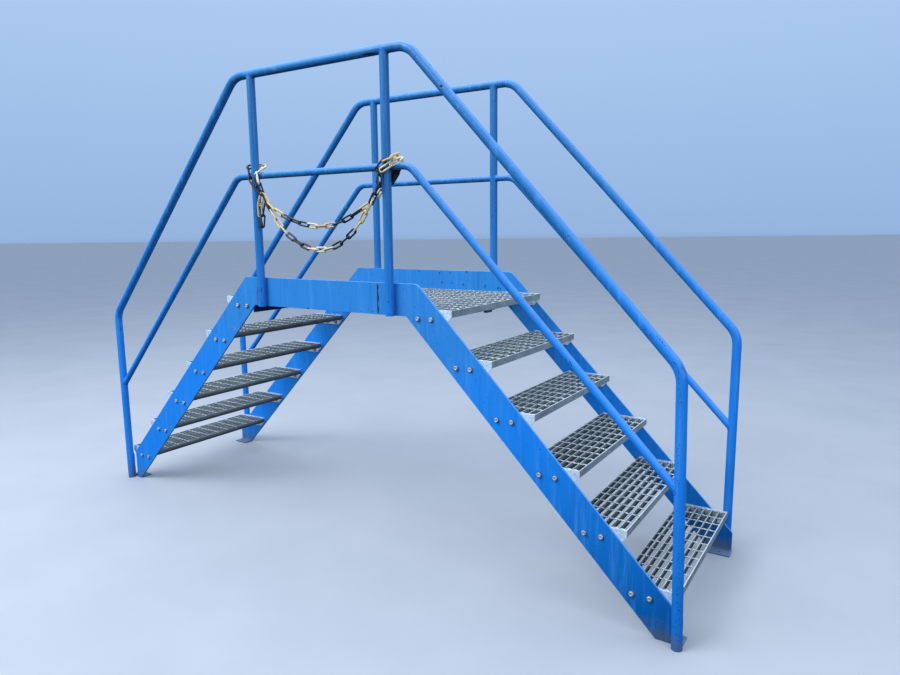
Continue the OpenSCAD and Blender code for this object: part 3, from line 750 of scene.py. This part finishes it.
for hand, sx in (("left", -1), ("right", 1)):
    ends = Shape()
    skew = SKEW if sx > 0 else 0.0
    for level in range(1, TREADS + 2):
        x = nosing(sx, level)
        z = RISE * level
        s = Shape()
        bar_y(s, x - NOSE_T, NOSE_T, z, -W, W, 2, skew=skew)
        bars = [x - NOSE_T / 2 - i * BAR_PITCH for i in range(1, 7)]
        for q in bars:
            bar_y(s, q - BAR_T / 2, BAR_T, z - 0.4, -W, W, skew=skew)
        bar_y(s, x - DEPTH, BAR_T, z - 0.2, -W, W, skew=skew)
        for i, y in enumerate(rod_rows(W)):
            lag = skew * (y + W) / (2 * W)
            twisted_rod(s, x - DEPTH + BAR_T - lag, x - NOSE_T - lag, y, z, level * 100 + i + (50 if sx < 0 else 0))
            for j, q in enumerate(bars):
                press_weld(s, q - lag, y, z, level * 1000 + i * 10 + j)
        for ys in (-1, 1):
            end_plate(ends, x - (skew if ys > 0 else 0.0), z, *((-FACE_IN, -W) if ys < 0 else (W, FACE_IN)), 0)
            # the fillets that hold the bars to the end plate
            for q in [x - NOSE_T - 1.0] + [b + BAR_T / 2 + 0.6 for b in bars]:
                q -= skew if ys > 0 else 0.0
                bead(ends, [(q, ys * (W - 1.2), z - 4), (q, ys * (W - 1.2), z - BAR_H + 3)], 2.0, 0, seed=int(q) + ys, sides=6)
        name = f"top_step_{hand}" if level == TREADS + 1 else f"tread_{hand}_{level}"
        if sx < 0:
            for i, v in enumerate(s.v):
                s.v[i] = v * np.array((-1, -1, 1))
        s.make(f"grating_{name}", [ZINC, ZINC_ROD, ZINC_NOSE, ZINC_TOP], [name])
    if sx < 0:
        for i, v in enumerate(ends.v):
            ends.v[i] = v * np.array((-1, -1, 1))
    ends.make(f"end_plates_{hand}", [ZINC_END], [f"tread_ends_{hand}"])

s = Shape()
half = NOSE_X - DEPTH - 8 - 2
wp = FACE_IN - 1
bars = [i * BAR_PITCH for i in range(-int((half - BAR_T) / BAR_PITCH), int((half - BAR_T) / BAR_PITCH) + 1)]
for q in bars:
    bar_y(s, q - BAR_T / 2, BAR_T, PLATFORM_Z - 0.4, -wp + BAR_T, wp - BAR_T)
for sgn in (-1, 1):
    bar_y(s, half - BAR_T if sgn > 0 else -half, BAR_T, PLATFORM_Z, -wp, wp)
    a, b = (wp - BAR_T, wp) if sgn > 0 else (-wp, -wp + BAR_T)
    s.box((-half + BAR_T, a, PLATFORM_Z - BAR_H), (half - BAR_T, b, PLATFORM_Z))
for i, y in enumerate(rod_rows(wp)):
    twisted_rod(s, -half + BAR_T, half - BAR_T, y, PLATFORM_Z, 900 + i)
    for j, q in enumerate(bars):
        press_weld(s, q, y, PLATFORM_Z, 90000 + i * 100 + j)
s.make("grating_platform", [ZINC, ZINC_ROD, ZINC_NOSE, ZINC_TOP], ["platform_grating"])

# a clip under the nosing of the right top step
s = Shape()
zb = PLATFORM_Z - BAR_H
plate(s, [(NOSE_X - 34, zb - 0.2), (NOSE_X - 34, zb - 3.2), (NOSE_X + 0.0, zb - 3.2), (NOSE_X + 0.0, zb - 0.2)], -150, -66, 0, 0.5, 0)
plate(s, [(NOSE_X - 26, zb - 3.2), (NOSE_X - 24, zb - 14), (NOSE_X - 6, zb - 14), (NOSE_X - 4, zb - 3.2)], -132, -84, 0, 1.2, 0)
s.make("clip_top_step_right", [WASHER])

# ---------------------------------------------------------------------------
# Bolts: hexagon heads outside the stringers, nuts inside the end plates
# ---------------------------------------------------------------------------
def turned(shape, rings, centre, out, mats, spin=0.0):
    """Rings (list of radii per vertex, heights) about an axis along Y through centre; out is -1 or 1."""
    n = 12
    v, f = [], []
    for radii, hs in rings:
        for k in range(n):
            a = 2 * math.pi * k / n + spin
            v.append((centre[0] + radii[k] * math.cos(a), centre[1] + out * hs[k], centre[2] + radii[k] * math.sin(a)))
    for i in range(len(rings) - 1):
        for k in range(n):
            q = (i * n + k, i * n + (k + 1) % n, (i + 1) * n + (k + 1) % n, (i + 1) * n + k)
            f.append(q if out > 0 else q[::-1])
    top = tuple((len(rings) - 1) * n + k for k in range(n))
    f.append(top if out > 0 else top[::-1])
    shape.add(v, [q[::-1] for q in f], mats)


def hexagon(af, scale=1.0):
    return [(af / 2 / math.cos(math.pi / 6) if k % 2 == 0 else af / 2) * scale for k in range(12)]


def flatr(r):
    return [r] * 12


def bolt_head(shape, c, out, spin, af=19.0, k=7.5):
    hexr = hexagon(af)
    hs = [k - 1.7 if j % 2 == 0 else k - 0.5 for j in range(12)]
    turned(shape, [(hexr, flatr(0.0)), (hexr, hs), (flatr(af * 0.465), flatr(k)), (flatr(af * 0.30), flatr(k)),
                   (flatr(af * 0.22), flatr(k - 0.9)), (flatr(0.6), flatr(k - 0.9))], c, out, 0, spin)


def nut(shape, c, out, spin, af=19.0, k=10.0):
    hexr = hexagon(af)
    hs = [k - 1.7 if j % 2 == 0 else k - 0.5 for j in range(12)]
    turned(shape, [(hexr, flatr(0.0)), (hexr, hs), (flatr(af * 0.465), flatr(k)), (flatr(6.4), flatr(k)), (flatr(5.9), flatr(k - 0.4)),
                   (flatr(5.9), flatr(k + 3.4)), (flatr(5.0), flatr(k + 4.2)), (flatr(0.6), flatr(k + 4.2))], c, out, 0, spin)


def washer(shape, c, out, r=12.0, t=2.0, mat=1):
    turned(shape, [(flatr(r), flatr(0.0)), (flatr(r), flatr(t - 0.4)), (flatr(r - 0.5), flatr(t)), (flatr(r * 0.5), flatr(t))], c, out, mat)


rnd = random.Random(11)
for side_name, sy in (("near", -1), ("far", 1)):
    for hand, sx in (("left", -1), ("right", 1)):
        s = Shape()
        for level in range(1, TREADS + 2):
            for off in (102.1, 174.5):
                x = sx * (NOSE_X + GOING * (TREADS + 1 - level) - off)
                if sx > 0 and sy > 0:
                    x -= SKEW
                z = RISE * level - 43.8
                c_out = np.array((x, sy * FACE_OUT, z))
                washer(s, c_out, sy, r=13.0)
                bolt_head(s, c_out + np.array((0, sy * 2.0, 0)), sy, rnd.random() * 3)
                c_in = np.array((x, sy * W, z))
                washer(s, c_in, -sy)
                nut(s, c_in - np.array((0, sy * 2.0, 0)), -sy, rnd.random() * 3)
        s.make(f"bolts_{side_name}_{hand}", [BOLT, WASHER])

# ---------------------------------------------------------------------------
# Handrails, posts and mid rails
# ---------------------------------------------------------------------------
welds = Shape()
for side_name, sy in (("near", -1), ("far", 1)):
    y = sy * RAIL_Y
    corners = RAIL_LINE[sy]
    top_z = corners[2][1]
    line = bent_line(corners, BEND_R, 3.0)
    p = [(q[0], y, q[1]) for q in line]
    s = Shape()
    tube(s, p, RAIL_R, 48, caps=False, up=(0, 1, 0))
    # the leaning leg is cut level with the floor
    for block in s.v:
        block[:, 2] = np.maximum(block[:, 2], 0.0)
    # open ends at the floor
    for end in (p[0], p[-1]):
        inner, rim = [], []
        for a in np.arange(40) / 40 * 2 * math.pi:
            rim.append((end[0] + RAIL_R * math.cos(a), y + RAIL_R * math.sin(a), 0.0))
            inner.append((end[0] + (RAIL_R - 2.6) * math.cos(a), y + (RAIL_R - 2.6) * math.sin(a), 0.0))
        deep = [(a[0], a[1], 60.0) for a in inner]
        f = [(i, (i + 1) % 40, 40 + (i + 1) % 40, 40 + i) for i in range(40)]
        f += [(40 + i, 40 + (i + 1) % 40, 80 + (i + 1) % 40, 80 + i) for i in range(40)]
        f.append(tuple(80 + i for i in range(40)))
        s.add(rim + inner + deep, [q[::-1] for q in f])
    s.make(f"rail_tube_{side_name}", [BLUE_LEG], [f"handrail_{side_name}"])

    for hand, sx in (("left", -1), ("right", 1)):
        # post: open at the bottom, coped to the rail at the top
        s = Shape()
        n = 48
        rows = []
        for zz in np.linspace(SIDE_BOTTOM, top_z - 60, 18):
            rows.append([(sx * POST_X + RAIL_R * math.cos(a), y + RAIL_R * math.sin(a), zz) for a in np.arange(n) / n * 2 * math.pi])
        rows.append([(sx * POST_X + RAIL_R * math.cos(a), y + RAIL_R * math.sin(a),
                      top_z - math.sqrt(max(RAIL_R ** 2 - (RAIL_R * math.sin(a)) ** 2, 0.0)) * 0.96) for a in np.arange(n) / n * 2 * math.pi])
        v = [q for row in rows for q in row]
        f = [(i * n + k, i * n + (k + 1) % n, (i + 1) * n + (k + 1) % n, (i + 1) * n + k) for i in range(len(rows) - 1) for k in range(n)]
        s.add(v, f, 0, True)
        rim = rows[0]
        inner = [(sx * POST_X + (RAIL_R - 2.6) * math.cos(a), y + (RAIL_R - 2.6) * math.sin(a), SIDE_BOTTOM) for a in np.arange(n) / n * 2 * math.pi]
        deep = [(q[0], q[1], SIDE_BOTTOM + 90) for q in inner]
        f = [(i, (i + 1) % n, n + (i + 1) % n, n + i) for i in range(n)]
        f += [(n + i, n + (i + 1) % n, 2 * n + (i + 1) % n, 2 * n + i) for i in range(n)]
        f.append(tuple(2 * n + i for i in range(n)))
        s.add(list(rim) + inner + deep, [q[::-1] for q in f])
        s.make(f"post_tube_{side_name}_{hand}", [BLUE_LEG], [f"post_{side_name}_{hand}"])

        # sloping mid rail
        foot, bend = (corners[0], corners[1]) if sx < 0 else (corners[5], corners[4])
        fr = MID_LEG_Z / bend[1]
        start = (foot[0] + (bend[0] - foot[0]) * fr, MID_LEG_Z)
        mid_x = MID_X[sy, sx]
        line = bent_line([start, (sx * mid_x, MID_Z), (sx * POST_X, MID_Z)], MID_BEND_R, 3.0)
        p = [np.array((q[0], y, q[1])) for q in line]
        d0 = (p[1] - p[0]) / np.linalg.norm(p[1] - p[0])
        d1 = (p[-1] - p[-2]) / np.linalg.norm(p[-1] - p[-2])
        p[0] = p[0] + d0 * 12
        p[-1] = p[-1] - d1 * 12
        s = Shape()
        tube(s, p, MID_R, 40, caps=False, up=(0, 1, 0))
        s.make(f"mid_tube_{side_name}_{hand}", [BLUE_LEG], [f"mid_rail_{side_name}_{hand}"])

        post = np.array((sx * POST_X, y, 0.0))
        leg_d = np.array((bend[0] - foot[0], 0.0, bend[1] - foot[1]))
        bead(welds, ring_on_cylinder(p[5], -d0, MID_R + 0.6, (foot[0], y, foot[1]), leg_d, RAIL_R), 2.9, 0, True, 31 + sx + 7 * sy)
        for s2 in (-1, 1):
            bead(welds, ring_on_cylinder((sx * POST_X + s2 * 60, y, MID_Z), (-s2, 0, 0), MID_R + 0.5, post, (0, 0, 1), RAIL_R), 2.5, 0, True, 61 + s2 + sx)
        bead(welds, ring_on_cylinder((sx * POST_X, y, top_z - 80), (0, 0, 1), RAIL_R * 0.985, (0, y, top_z), (1, 0, 0), RAIL_R), 2.6, 0, True, 91 + sx)
        # the post is welded along the outer face of the side plate
        for s2 in (-1, 1):
            q = sx * POST_X + s2 * 9.2
            bead(welds, [(q, sy * (FACE_OUT + 0.8), SIDE_BOTTOM + 4), (q, sy * (FACE_OUT + 0.8), SIDE_TOP - 5)], 2.6, 0, False, 121 + s2 + sx)
        # the leg is welded to the toe of the stringer
        out = STRINGER_OUT[sy, sx]
        high = max((upper_x(0) + out - abs(foot[0])) * SLOPE, 30.0)
        for s2 in (-1, 1):
            q = foot[0] + sx * s2 * 9.2
            lean = (bend[0] - foot[0]) * high / bend[1]
            bead(welds, [(q, sy * (FACE_OUT + 0.8), 4), (q + lean, sy * (FACE_OUT + 0.8), high - s2 * 9 + 4)], 2.6, 0, False, 141 + s2 + sx)
        # foot plate
        y_in = sy * (FACE_IN - 1.0)
        bead(welds, [(sx * FOOT_X - FOOT_L / 2 + 4, y_in, FOOT_T + 1.4), (sx * FOOT_X + FOOT_L / 2 - 4, y_in, FOOT_T + 1.4)], 3.0, 0, False, 171 + sx)

    s = Shape()
    tube(s, [(x, y, MID_Z) for x in np.linspace(-POST_X + 12, POST_X - 12, 22)], MID_R, 40, caps=False, up=(0, 1, 0))
    s.make(f"mid_tube_{side_name}_middle", [BLUE_LEG], [f"mid_rail_{side_name}_middle"])

    # seams between the side plate and the stringers
    yo = sy * (FACE_OUT - 0.6)
    bead(welds, [(-SEAM_L, yo, SIDE_BOTTOM + 2), (-SEAM_L, yo, SIDE_TOP - 2)], 2.0, 1, False, 201 + sy, flat=0.5)
    bead(welds, [(SEAM_R, yo, SIDE_BOTTOM + 4), (SEAM_R, yo, SIDE_TOP - 6)], 2.7, 1, False, 203 + sy, flat=0.45)
    yi = sy * (FACE_IN + 0.4)
    for q in (-SEAM_L, SEAM_R):
        bead(welds, [(q, yi, SIDE_BOTTOM + 2), (q, yi, SIDE_TOP - 2)], 2.6, 0, False, 205 + sy)
welds.make("weld_beads", [BLUE, RUST])

# feet
for side_name, sy in (("near", -1), ("far", 1)):
    for hand, sx in (("left", -1), ("right", 1)):
        s = Shape()
        n = 32
        hx, hy = sx * FOOT_X, sy * (FACE_IN - 30.0)
        x0, x1 = hx - FOOT_L / 2, hx + FOOT_L / 2
        ya, yb = (FACE_IN - FOOT_W, FACE_IN) if sy > 0 else (-FACE_IN, -FACE_IN + FOOT_W)

        def ring(grow, z):
            out = []
            for k in range(n):
                a = 2 * math.pi * (k + 0.5) / n
                dx, dy = math.cos(a), math.sin(a)
                t = min(((x1 - grow - hx) if dx > 0 else (x0 + grow - hx)) / dx, ((yb - grow - hy) if dy > 0 else (ya + grow - hy)) / dy)
                out.append((hx + dx * t, hy + dy * t, z))
            # snap the nearest points to the corners
            for cx, cy in ((x0 + grow, ya + grow), (x1 - grow, ya + grow), (x1 - grow, yb - grow), (x0 + grow, yb - grow)):
                i = min(range(n), key=lambda j: (out[j][0] - cx) ** 2 + (out[j][1] - cy) ** 2)
                out[i] = (cx, cy, z)
            return out

        def hole(r, z):
            return [(hx + r * math.cos(2 * math.pi * (k + 0.5) / n), hy + r * math.sin(2 * math.pi * (k + 0.5) / n), z) for k in range(n)]

        R = FOOT_HOLE / 2
        rows = [hole(R, 0.0), hole(R, FOOT_T - 0.6), hole(R + 0.6, FOOT_T), ring(1.2, FOOT_T), ring(0.0, FOOT_T - 1.2), ring(0.0, 0.0), hole(R, 0.0)]
        v = [q for row in rows for q in row]
        e = [0] * 2 * n + [0] * n + [1] * n + [1] * n + [0.6] * n + [0] * n
        f = [(i * n + k, i * n + (k + 1) % n, (i + 1) * n + (k + 1) % n, (i + 1) * n + k) for i in range(len(rows) - 1) for k in range(n)]
        s.add(v, f, 0, False, e)
        # a dark disc lies at the bottom of the hole
        s.add(hole(R + 0.05, 0.8), [tuple(range(n))], 1)
        s.make(f"foot_plate_{side_name}_{hand}", [BLUE_FOOT, HOLE_DARK_DISC], [f"foot_{side_name}_{hand}"])

# the CAD pieces that show as they are, in enamel darkened nearly to black as painted shade under the platform
for n in ("platform_bearer_left", "platform_bearer_right", "platform_ledge_near", "platform_ledge_far"):
    o = frame["nodes"][n]
    o.data.materials.clear()
    o.data.materials.append(BLUE_PAINTED_SHADE_UNDER)

# ---------------------------------------------------------------------------
# Wear that has a place of its own: pits, chips, scratches and open seams, each a thin patch that lies on the
# surface it marks. Places are (across, down) in the photograph's frame, 900 x 675.
# ---------------------------------------------------------------------------
def surface_tree():
    verts, faces, n = [], [], 0
    for o in list(bpy.context.scene.objects):
        if o.type == "MESH" and o.name.startswith(("flat_bar", "side_flat", "rail_tube", "post_tube", "mid_tube", "grating", "end_plates", "foot_plate")):
            verts += [o.matrix_world @ v.co for v in o.data.vertices]
            faces += [[i + n for i in q.vertices] for q in o.data.polygons]
            n = len(verts)
    return BVHTree.FromPolygons(verts, faces)


TREE = surface_tree()
EYE = Vector(camera.matrix_world.translation)
LIFT = 0.00016
marks = Shape()


def cast(u, v):
    d = (cam_x * (u - 450.0) + cam_down * (v - 337.5) + ahead * FOCAL_PX).normalized()
    place, normal, _, far = TREE.ray_cast(EYE, d)
    if place is None:
        return None
    if normal.dot(d) > 0:
        normal = -normal
    return place + normal * LIFT, far


def patch(u, v, rx, ry, turn=0.0, mat=0, seed=0, n=11):
    """An uneven spot with half sizes rx and ry."""
    rnd = random.Random(seed * 131 + int(u * 7 + v * 13))
    here = cast(u, v)
    if here is None:
        return
    c, s_ = math.cos(math.radians(turn)), math.sin(math.radians(turn))
    rings = []
    wob = [rnd.uniform(0.62, 1.12) for _ in range(n)]
    for share in (0.5, 1.0):
        ring = []
        for i in range(n):
            a = 2 * math.pi * i / n
            x, y = rx * wob[i] * math.cos(a) * share, ry * wob[i] * math.sin(a) * share
            hit = cast(u + x * c - y * s_, v + x * s_ + y * c)
            if hit is None or abs(hit[1] - here[1]) > 0.05:
                hit = rings[-1][i] if rings else here
            ring.append(hit)
        rings.append(ring)
    pts = [here[0]] + [q[0] for ring in rings for q in ring]
    faces = [(0, 1 + (i + 1) % n, 1 + i) for i in range(n)]
    faces += [(1 + i, 1 + (i + 1) % n, 1 + n + (i + 1) % n, 1 + n + i) for i in range(n)]
    marks.add([tuple(q / MM for q in p) for p in pts], faces, mat, False)


def stroke(points, r, mat=0, seed=0, uneven=0.45):
    """An uneven line of half width r."""
    rnd = random.Random(seed + 17)
    p = np.asarray(points, float)
    seg = np.linalg.norm(np.diff(p, axis=0), axis=1)
    along = np.concatenate([[0], np.cumsum(seg)])
    n = max(3, int(along[-1] / 0.7))
    at = np.linspace(0, along[-1], n)
    q = np.stack([np.interp(at, along, p[:, k]) for k in range(2)], 1)
    t = np.gradient(q, axis=0)
    t /= np.maximum(np.linalg.norm(t, axis=1), 1e-9)[:, None]
    left, right = [], []
    first = None
    for i in range(n):
        w = r * (1 + rnd.uniform(-uneven, uneven)) * (0.35 if i in (0, n - 1) else 1.0)
        o = rnd.uniform(-0.25, 0.25) * r
        a = cast(q[i][0] - t[i][1] * (w + o), q[i][1] + t[i][0] * (w + o))
        b = cast(q[i][0] + t[i][1] * (w - o), q[i][1] - t[i][0] * (w - o))
        if a is None or b is None or abs(a[1] - b[1]) > 0.02:
            continue
        if first is None:
            first = a[1]
        left.append(a[0])
        right.append(b[0])
    if len(left) < 2:
        return
    m_ = len(left)
    pts = [tuple(x / MM for x in c) for c in left + right]
    marks.add(pts, [(i, i + 1, m_ + i + 1, m_ + i) for i in range(m_ - 1)], mat, False)


D_, B_, S_, F_ = 0, 1, 2, 3
# top rail
stroke([(268, 66.5), (272, 68), (277, 70)], 0.8, S_, 1)
for u, v, a, b, w, m_ in ((400, 45, .7, .5, 0, D_), (411, 50, .8, .5, 10, D_), (415, 56, .9, .6, 20, D_), (441, 86, 2.3, 1.3, 35, D_),
                          (447, 79, .7, .5, 0, D_), (464, 112, .7, .6, 0, D_), (369, 54, 8.5, 1.6, -2, D_)):
    patch(u, v, a, b, w, m_)
stroke([(438.5, 84), (441, 86.5), (444, 88)], 0.28, S_, 4)
stroke([(439, 87), (442, 88.5)], 0.22, S_, 5)
patch(375.5, 98.5, 2.4, .8, 10, S_)
# slope and bend of the near right rail
for i, (u, v, a, b, w, m_) in enumerate((
        (645.6, 329.4, .8, .5, 30, D_), (650, 335.2, .6, .6, 0, D_), (660.2, 347, .5, .4, 40, F_), (667, 355.8, .65, .6, 0, D_),
        (665.4, 353.4, .4, .3, 0, F_), (670, 358, .35, .3, 0, F_), (674.5, 358.2, .5, .4, 0, F_), (678.6, 369.4, .5, .5, 0, D_),
        (673.6, 362.4, .8, .5, 20, F_), (676, 364.2, .7, .5, -30, F_), (678.9, 379, .55, 1.2, 0, D_), (678.7, 383.8, .5, 1.0, 0, D_),
        (679.6, 389, 1.1, .35, -10, D_), (677.8, 390.6, .5, .35, 0, D_), (680.5, 393.4, .3, 1.1, 5, F_), (680, 396.6, .4, 1.3, -5, D_),
        (679, 399, .5, .35, 0, F_), (681, 402.5, .7, .6, 20, D_), (679, 403.5, .5, .4, 0, D_), (677.9, 401.4, .3, .7, 0, F_),
        (680.2, 417, .55, .5, 0, D_), (677.8, 428.3, .35, .4, 0, D_), (678, 448.5, .45, .8, 0, D_), (676.8, 451.5, .4, .7, 0, D_),
        (678.5, 455.5, .55, .45, 0, D_), (678, 463.8, .55, .5, 0, D_), (684.2, 458, .4, .3, 0, D_), (677.2, 480.5, .45, .9, 0, D_),
        (678.3, 483.5, .5, .7, 0, D_), (679, 486, .35, .45, 0, D_), (683.6, 475, .3, .6, 0, D_), (676.5, 511, .35, .4, 0, D_),
        (680, 523, .3, .35, 0, D_))):
    patch(u, v, a, b, w, m_, i)
for i, pts in enumerate(([(656.2, 335.4), (657.8, 337.3)], [(658.6, 338.2), (660.8, 340.6)], [(661.4, 341.4), (663.3, 343.6)],
                         [(664, 344.7), (665.3, 346.2)])):
    stroke(pts, .28, D_, 70 + i)
for i, pts in enumerate(([(673, 360.8), (674.4, 363), (677, 364.8)], [(673.8, 365), (675.2, 361.8)], [(680.4, 363.4), (682, 366), (683.4, 369), (685, 372.4)],
                         [(681.2, 367), (682.6, 370)], [(678.4, 371), (679, 375)], [(684.4, 373.4), (686.6, 373)])):
    stroke(pts, .26, F_, 80 + i)
rnd = random.Random(23)
for i in range(66):
    v = 546 + 96 * rnd.random() ** 0.9
    u = 677.3 + rnd.gauss(0, 1.9) + (v - 548) * 0.012
    patch(u, v, rnd.uniform(.22, .55), rnd.uniform(.3, .85), rnd.uniform(-20, 20), D_ if rnd.random() < .65 else F_, i)
for i, (u, v, a, b, w) in enumerate(((674, 478.5, .5, .9, 0), (674.4, 482, .4, .7, 10), (674, 491, .5, .8, 0), (674.3, 494, .4, .5, 0), (673.2, 486, .35, .5, 0))):
    patch(u, v, a, b, w, D_, i)
# mid rail
for pts, r in (([(565, 358.5), (567, 361)], .4), ([(568, 363), (570.5, 368)], .55), ([(569.5, 361), (572, 366.5)], .35), ([(571, 369), (573, 372)], .4)):
    stroke(pts, r, D_, int(pts[0][0]))
patch(360, 168.4, .6, .5, 0, D_)
patch(632, 441.5, .7, .5, 45, D_)
patch(634, 443.4, .6, .35, 45, D_)
# posts
for i, (u, v, a, b, w) in enumerate(((388, 302, .7, .8, 0), (388.3, 314, .6, .8, 0), (256, 265, .7, .8, 0), (254.6, 208.5, .5, .5, 0),
                                     (255.5, 214.5, .5, .5, 0), (255.2, 235, .4, .5, 0), (258, 252, .3, .5, 0))):
    patch(u, v, a, b, w, D_, i)
stroke([(259.3, 287.5), (259.3, 292.5)], .45, D_, 31)
stroke([(261.8, 287.8), (261.8, 292.6)], .4, D_, 32)
stroke([(259.3, 290.2), (261.8, 290)], .4, D_, 33)
# near left leg
stroke([(120.3, 326.8), (120.5, 331.5)], .5, D_, 41)
stroke([(120.4, 331.2), (123, 331.8)], .45, D_, 42)
# the side plate and its seams
stroke([(257.3, 276), (257.6, 285), (257.2, 296), (257.6, 304)], .38, B_, 51)
stroke([(257.4, 292), (259, 295), (258.6, 298), (261, 301), (262.4, 304.5)], .75, D_, 52)
stroke([(378.4, 285), (377.6, 291), (378.8, 297), (377.8, 303), (378.6, 309), (378.2, 313.5)], .30, D_, 53)
stroke([(377.9, 286), (377.3, 291), (378.3, 297), (377.3, 303), (378.1, 309)], .22, B_, 55)
stroke([(404.6, 286), (404.9, 300), (404.6, 315)], .14, S_, 54)
patch(308, 308.4, 1.4, .6, 5, D_)
patch(310.8, 309.3, .8, .4, 5, B_)
for i, (u, v, a, b) in enumerate(((423, 306, .45, .45), (414.8, 307.2, .5, .5), (433.6, 332, .4, .4), (402, 300, .35, .35), (291, 287.2, .4, .3), (345, 297.5, .4, .4))):
    patch(u, v, a, b, 0, D_, i)
# far side plate, inside face: pits, and the runs below them
for i, (u, v, a, b) in enumerate(((373, 274, .6, .6), (382, 277, .6, .5), (419.4, 271.6, .6, .8), (439.3, 273, .8, .8), (450, 273, .7, .8),
                                  (466.5, 271.8, 1.0, .9), (429, 275.6, .35, .35), (460.5, 278.8, .5, .4), (466.5, 280.5, .5, .5),
                                  (442, 282.2, .8, 1.0), (452, 283, .6, 1.0), (463, 284.6, .6, 1.6), (485, 286.5, .6, 2.6), (498, 288.3, .6, 2.0),
                                  (500.4, 288.6, .4, 1.6), (421.6, 282.3, .5, .6), (484, 278.8, .5, .4), (493.5, 278.5, .4, .7), (482.5, 271.5, .5, .5),
                                  (432, 283.2, .35, .6), (408.6, 277.5, .35, .4))):
    patch(u, v, a, b, 0, D_, i)
# stringers
stroke([(231.5, 325.5), (234.5, 327.6), (239.5, 329.5)], .4, S_, 61)
stroke([(233, 328.8), (237, 330)], .25, S_, 62)
for i, (u, v, a, b, w) in enumerate(((592.5, 553, .9, .35, 60), (625.5, 581, .6, .3, 50), (566.7, 520.8, .5, .4, 0), (577.6, 553.6, .4, .35, 0),
                                     (604.5, 547.5, .5, .3, 50), (572, 488, .35, .35, 0), (529.5, 356.8, .35, .3, 0), (468.7, 392, .5, .35, 0),
                                     (512, 440.6, .5, .35, 30), (541.5, 471.6, .4, .4, 0))):
    patch(u, v, a, b, w, D_, i)
# a rust spot on the second nosing, dirt on the left flight's upper tread
patch(639.4, 519.2, 1.2, 1.0, -35, B_)
patch(241.5, 331.5, 4.0, 1.5, 42, B_)
marks.make("wear_marks", [DARK, BROWN, SCUFF, FAINT])

# ---------------------------------------------------------------------------
# Floor and light
# ---------------------------------------------------------------------------
k = Nodes("floor")
k.done(k.mix(k.ramp(k.noise(1.5, 4.0, 0.6), 0.3, 0.7), (0.370, 0.400, 0.445), (0.395, 0.424, 0.468)), 0.9, 0.0,
       k.bump(k.noise(60.0, 3.0, 0.6), 0.1, 0.001), Specular_IOR_Level=0.1)
bpy.ops.mesh.primitive_plane_add(size=600, location=(0, 0, 0))
floor = bpy.context.object
floor.name = "floor"
floor.data.materials.append(k.mat)
floor.visible_diffuse = False
floor.visible_glossy = False

world = bpy.data.worlds.new("studio")
world.use_nodes = True
bpy.context.scene.world = world
wt = world.node_tree
bg = wt.nodes["Background"]
way = wt.nodes.new("ShaderNodeTexCoord")
sep = wt.nodes.new("ShaderNodeSeparateXYZ")
wt.links.new(way.outputs["Generated"], sep.inputs[0])
ramp = wt.nodes.new("ShaderNodeValToRGB")
rescale = wt.nodes.new("ShaderNodeMapRange")
rescale.inputs["From Min"].default_value, rescale.inputs["From Max"].default_value = -1.0, 1.0
wt.links.new(sep.outputs["Z"], rescale.inputs["Value"])
wt.links.new(rescale.outputs["Result"], ramp.inputs[0])
cr = ramp.color_ramp
cr.elements[0].position, cr.elements[0].color = 0.0, (0.030, 0.034, 0.045, 1)
cr.elements[1].position, cr.elements[1].color = 1.0, (0.90, 1.02, 1.20, 1)
for at, colour in ((0.44, (0.045, 0.052, 0.070, 1)), (0.480, (0.10, 0.13, 0.19, 1)), (0.494, (0.30, 0.46, 0.74, 1)), (0.66, (0.43, 0.61, 0.90, 1))):
    e = cr.elements.new(at)
    e.color = colour
wt.links.new(ramp.outputs["Color"], bg.inputs["Color"])
bg.inputs["Strength"].default_value = 1.0


def area(name, at, to, size, power, color=(1, 1, 1)):
    data = bpy.data.lights.new(name, "AREA")
    data.shape = "RECTANGLE"
    data.size, data.size_y = size
    data.energy = power
    data.color = color
    o = bpy.data.objects.new(name, data)
    o.location = at
    o.rotation_euler = (Vector(to) - Vector(at)).to_track_quat("-Z", "Y").to_euler()
    bpy.context.scene.collection.objects.link(o)
    return o


area("key", (-2.4, -4.8, 6.4), (0.0, 0, 0.9), (4.5, 4), 500, (0.97, 0.98, 1.0))
area("fill", (-5.5, -5.5, 3.2), (-0.6, 0, 1.0), (5, 3), 30, (0.93, 0.97, 1.0))
area("side", (7.0, -3.0, 3.0), (1.0, 0, 1.2), (4, 3), 125, (0.93, 0.97, 1.0))
area("top", (0.0, 1.0, 8.0), (0, 0, 0), (7, 6), 240, (0.95, 0.98, 1.0))

sc = bpy.context.scene
sc.view_settings.view_transform = "Standard"
sc.view_settings.look = "None"
sc.view_settings.exposure = 0.0
sc.view_settings.gamma = 1.0
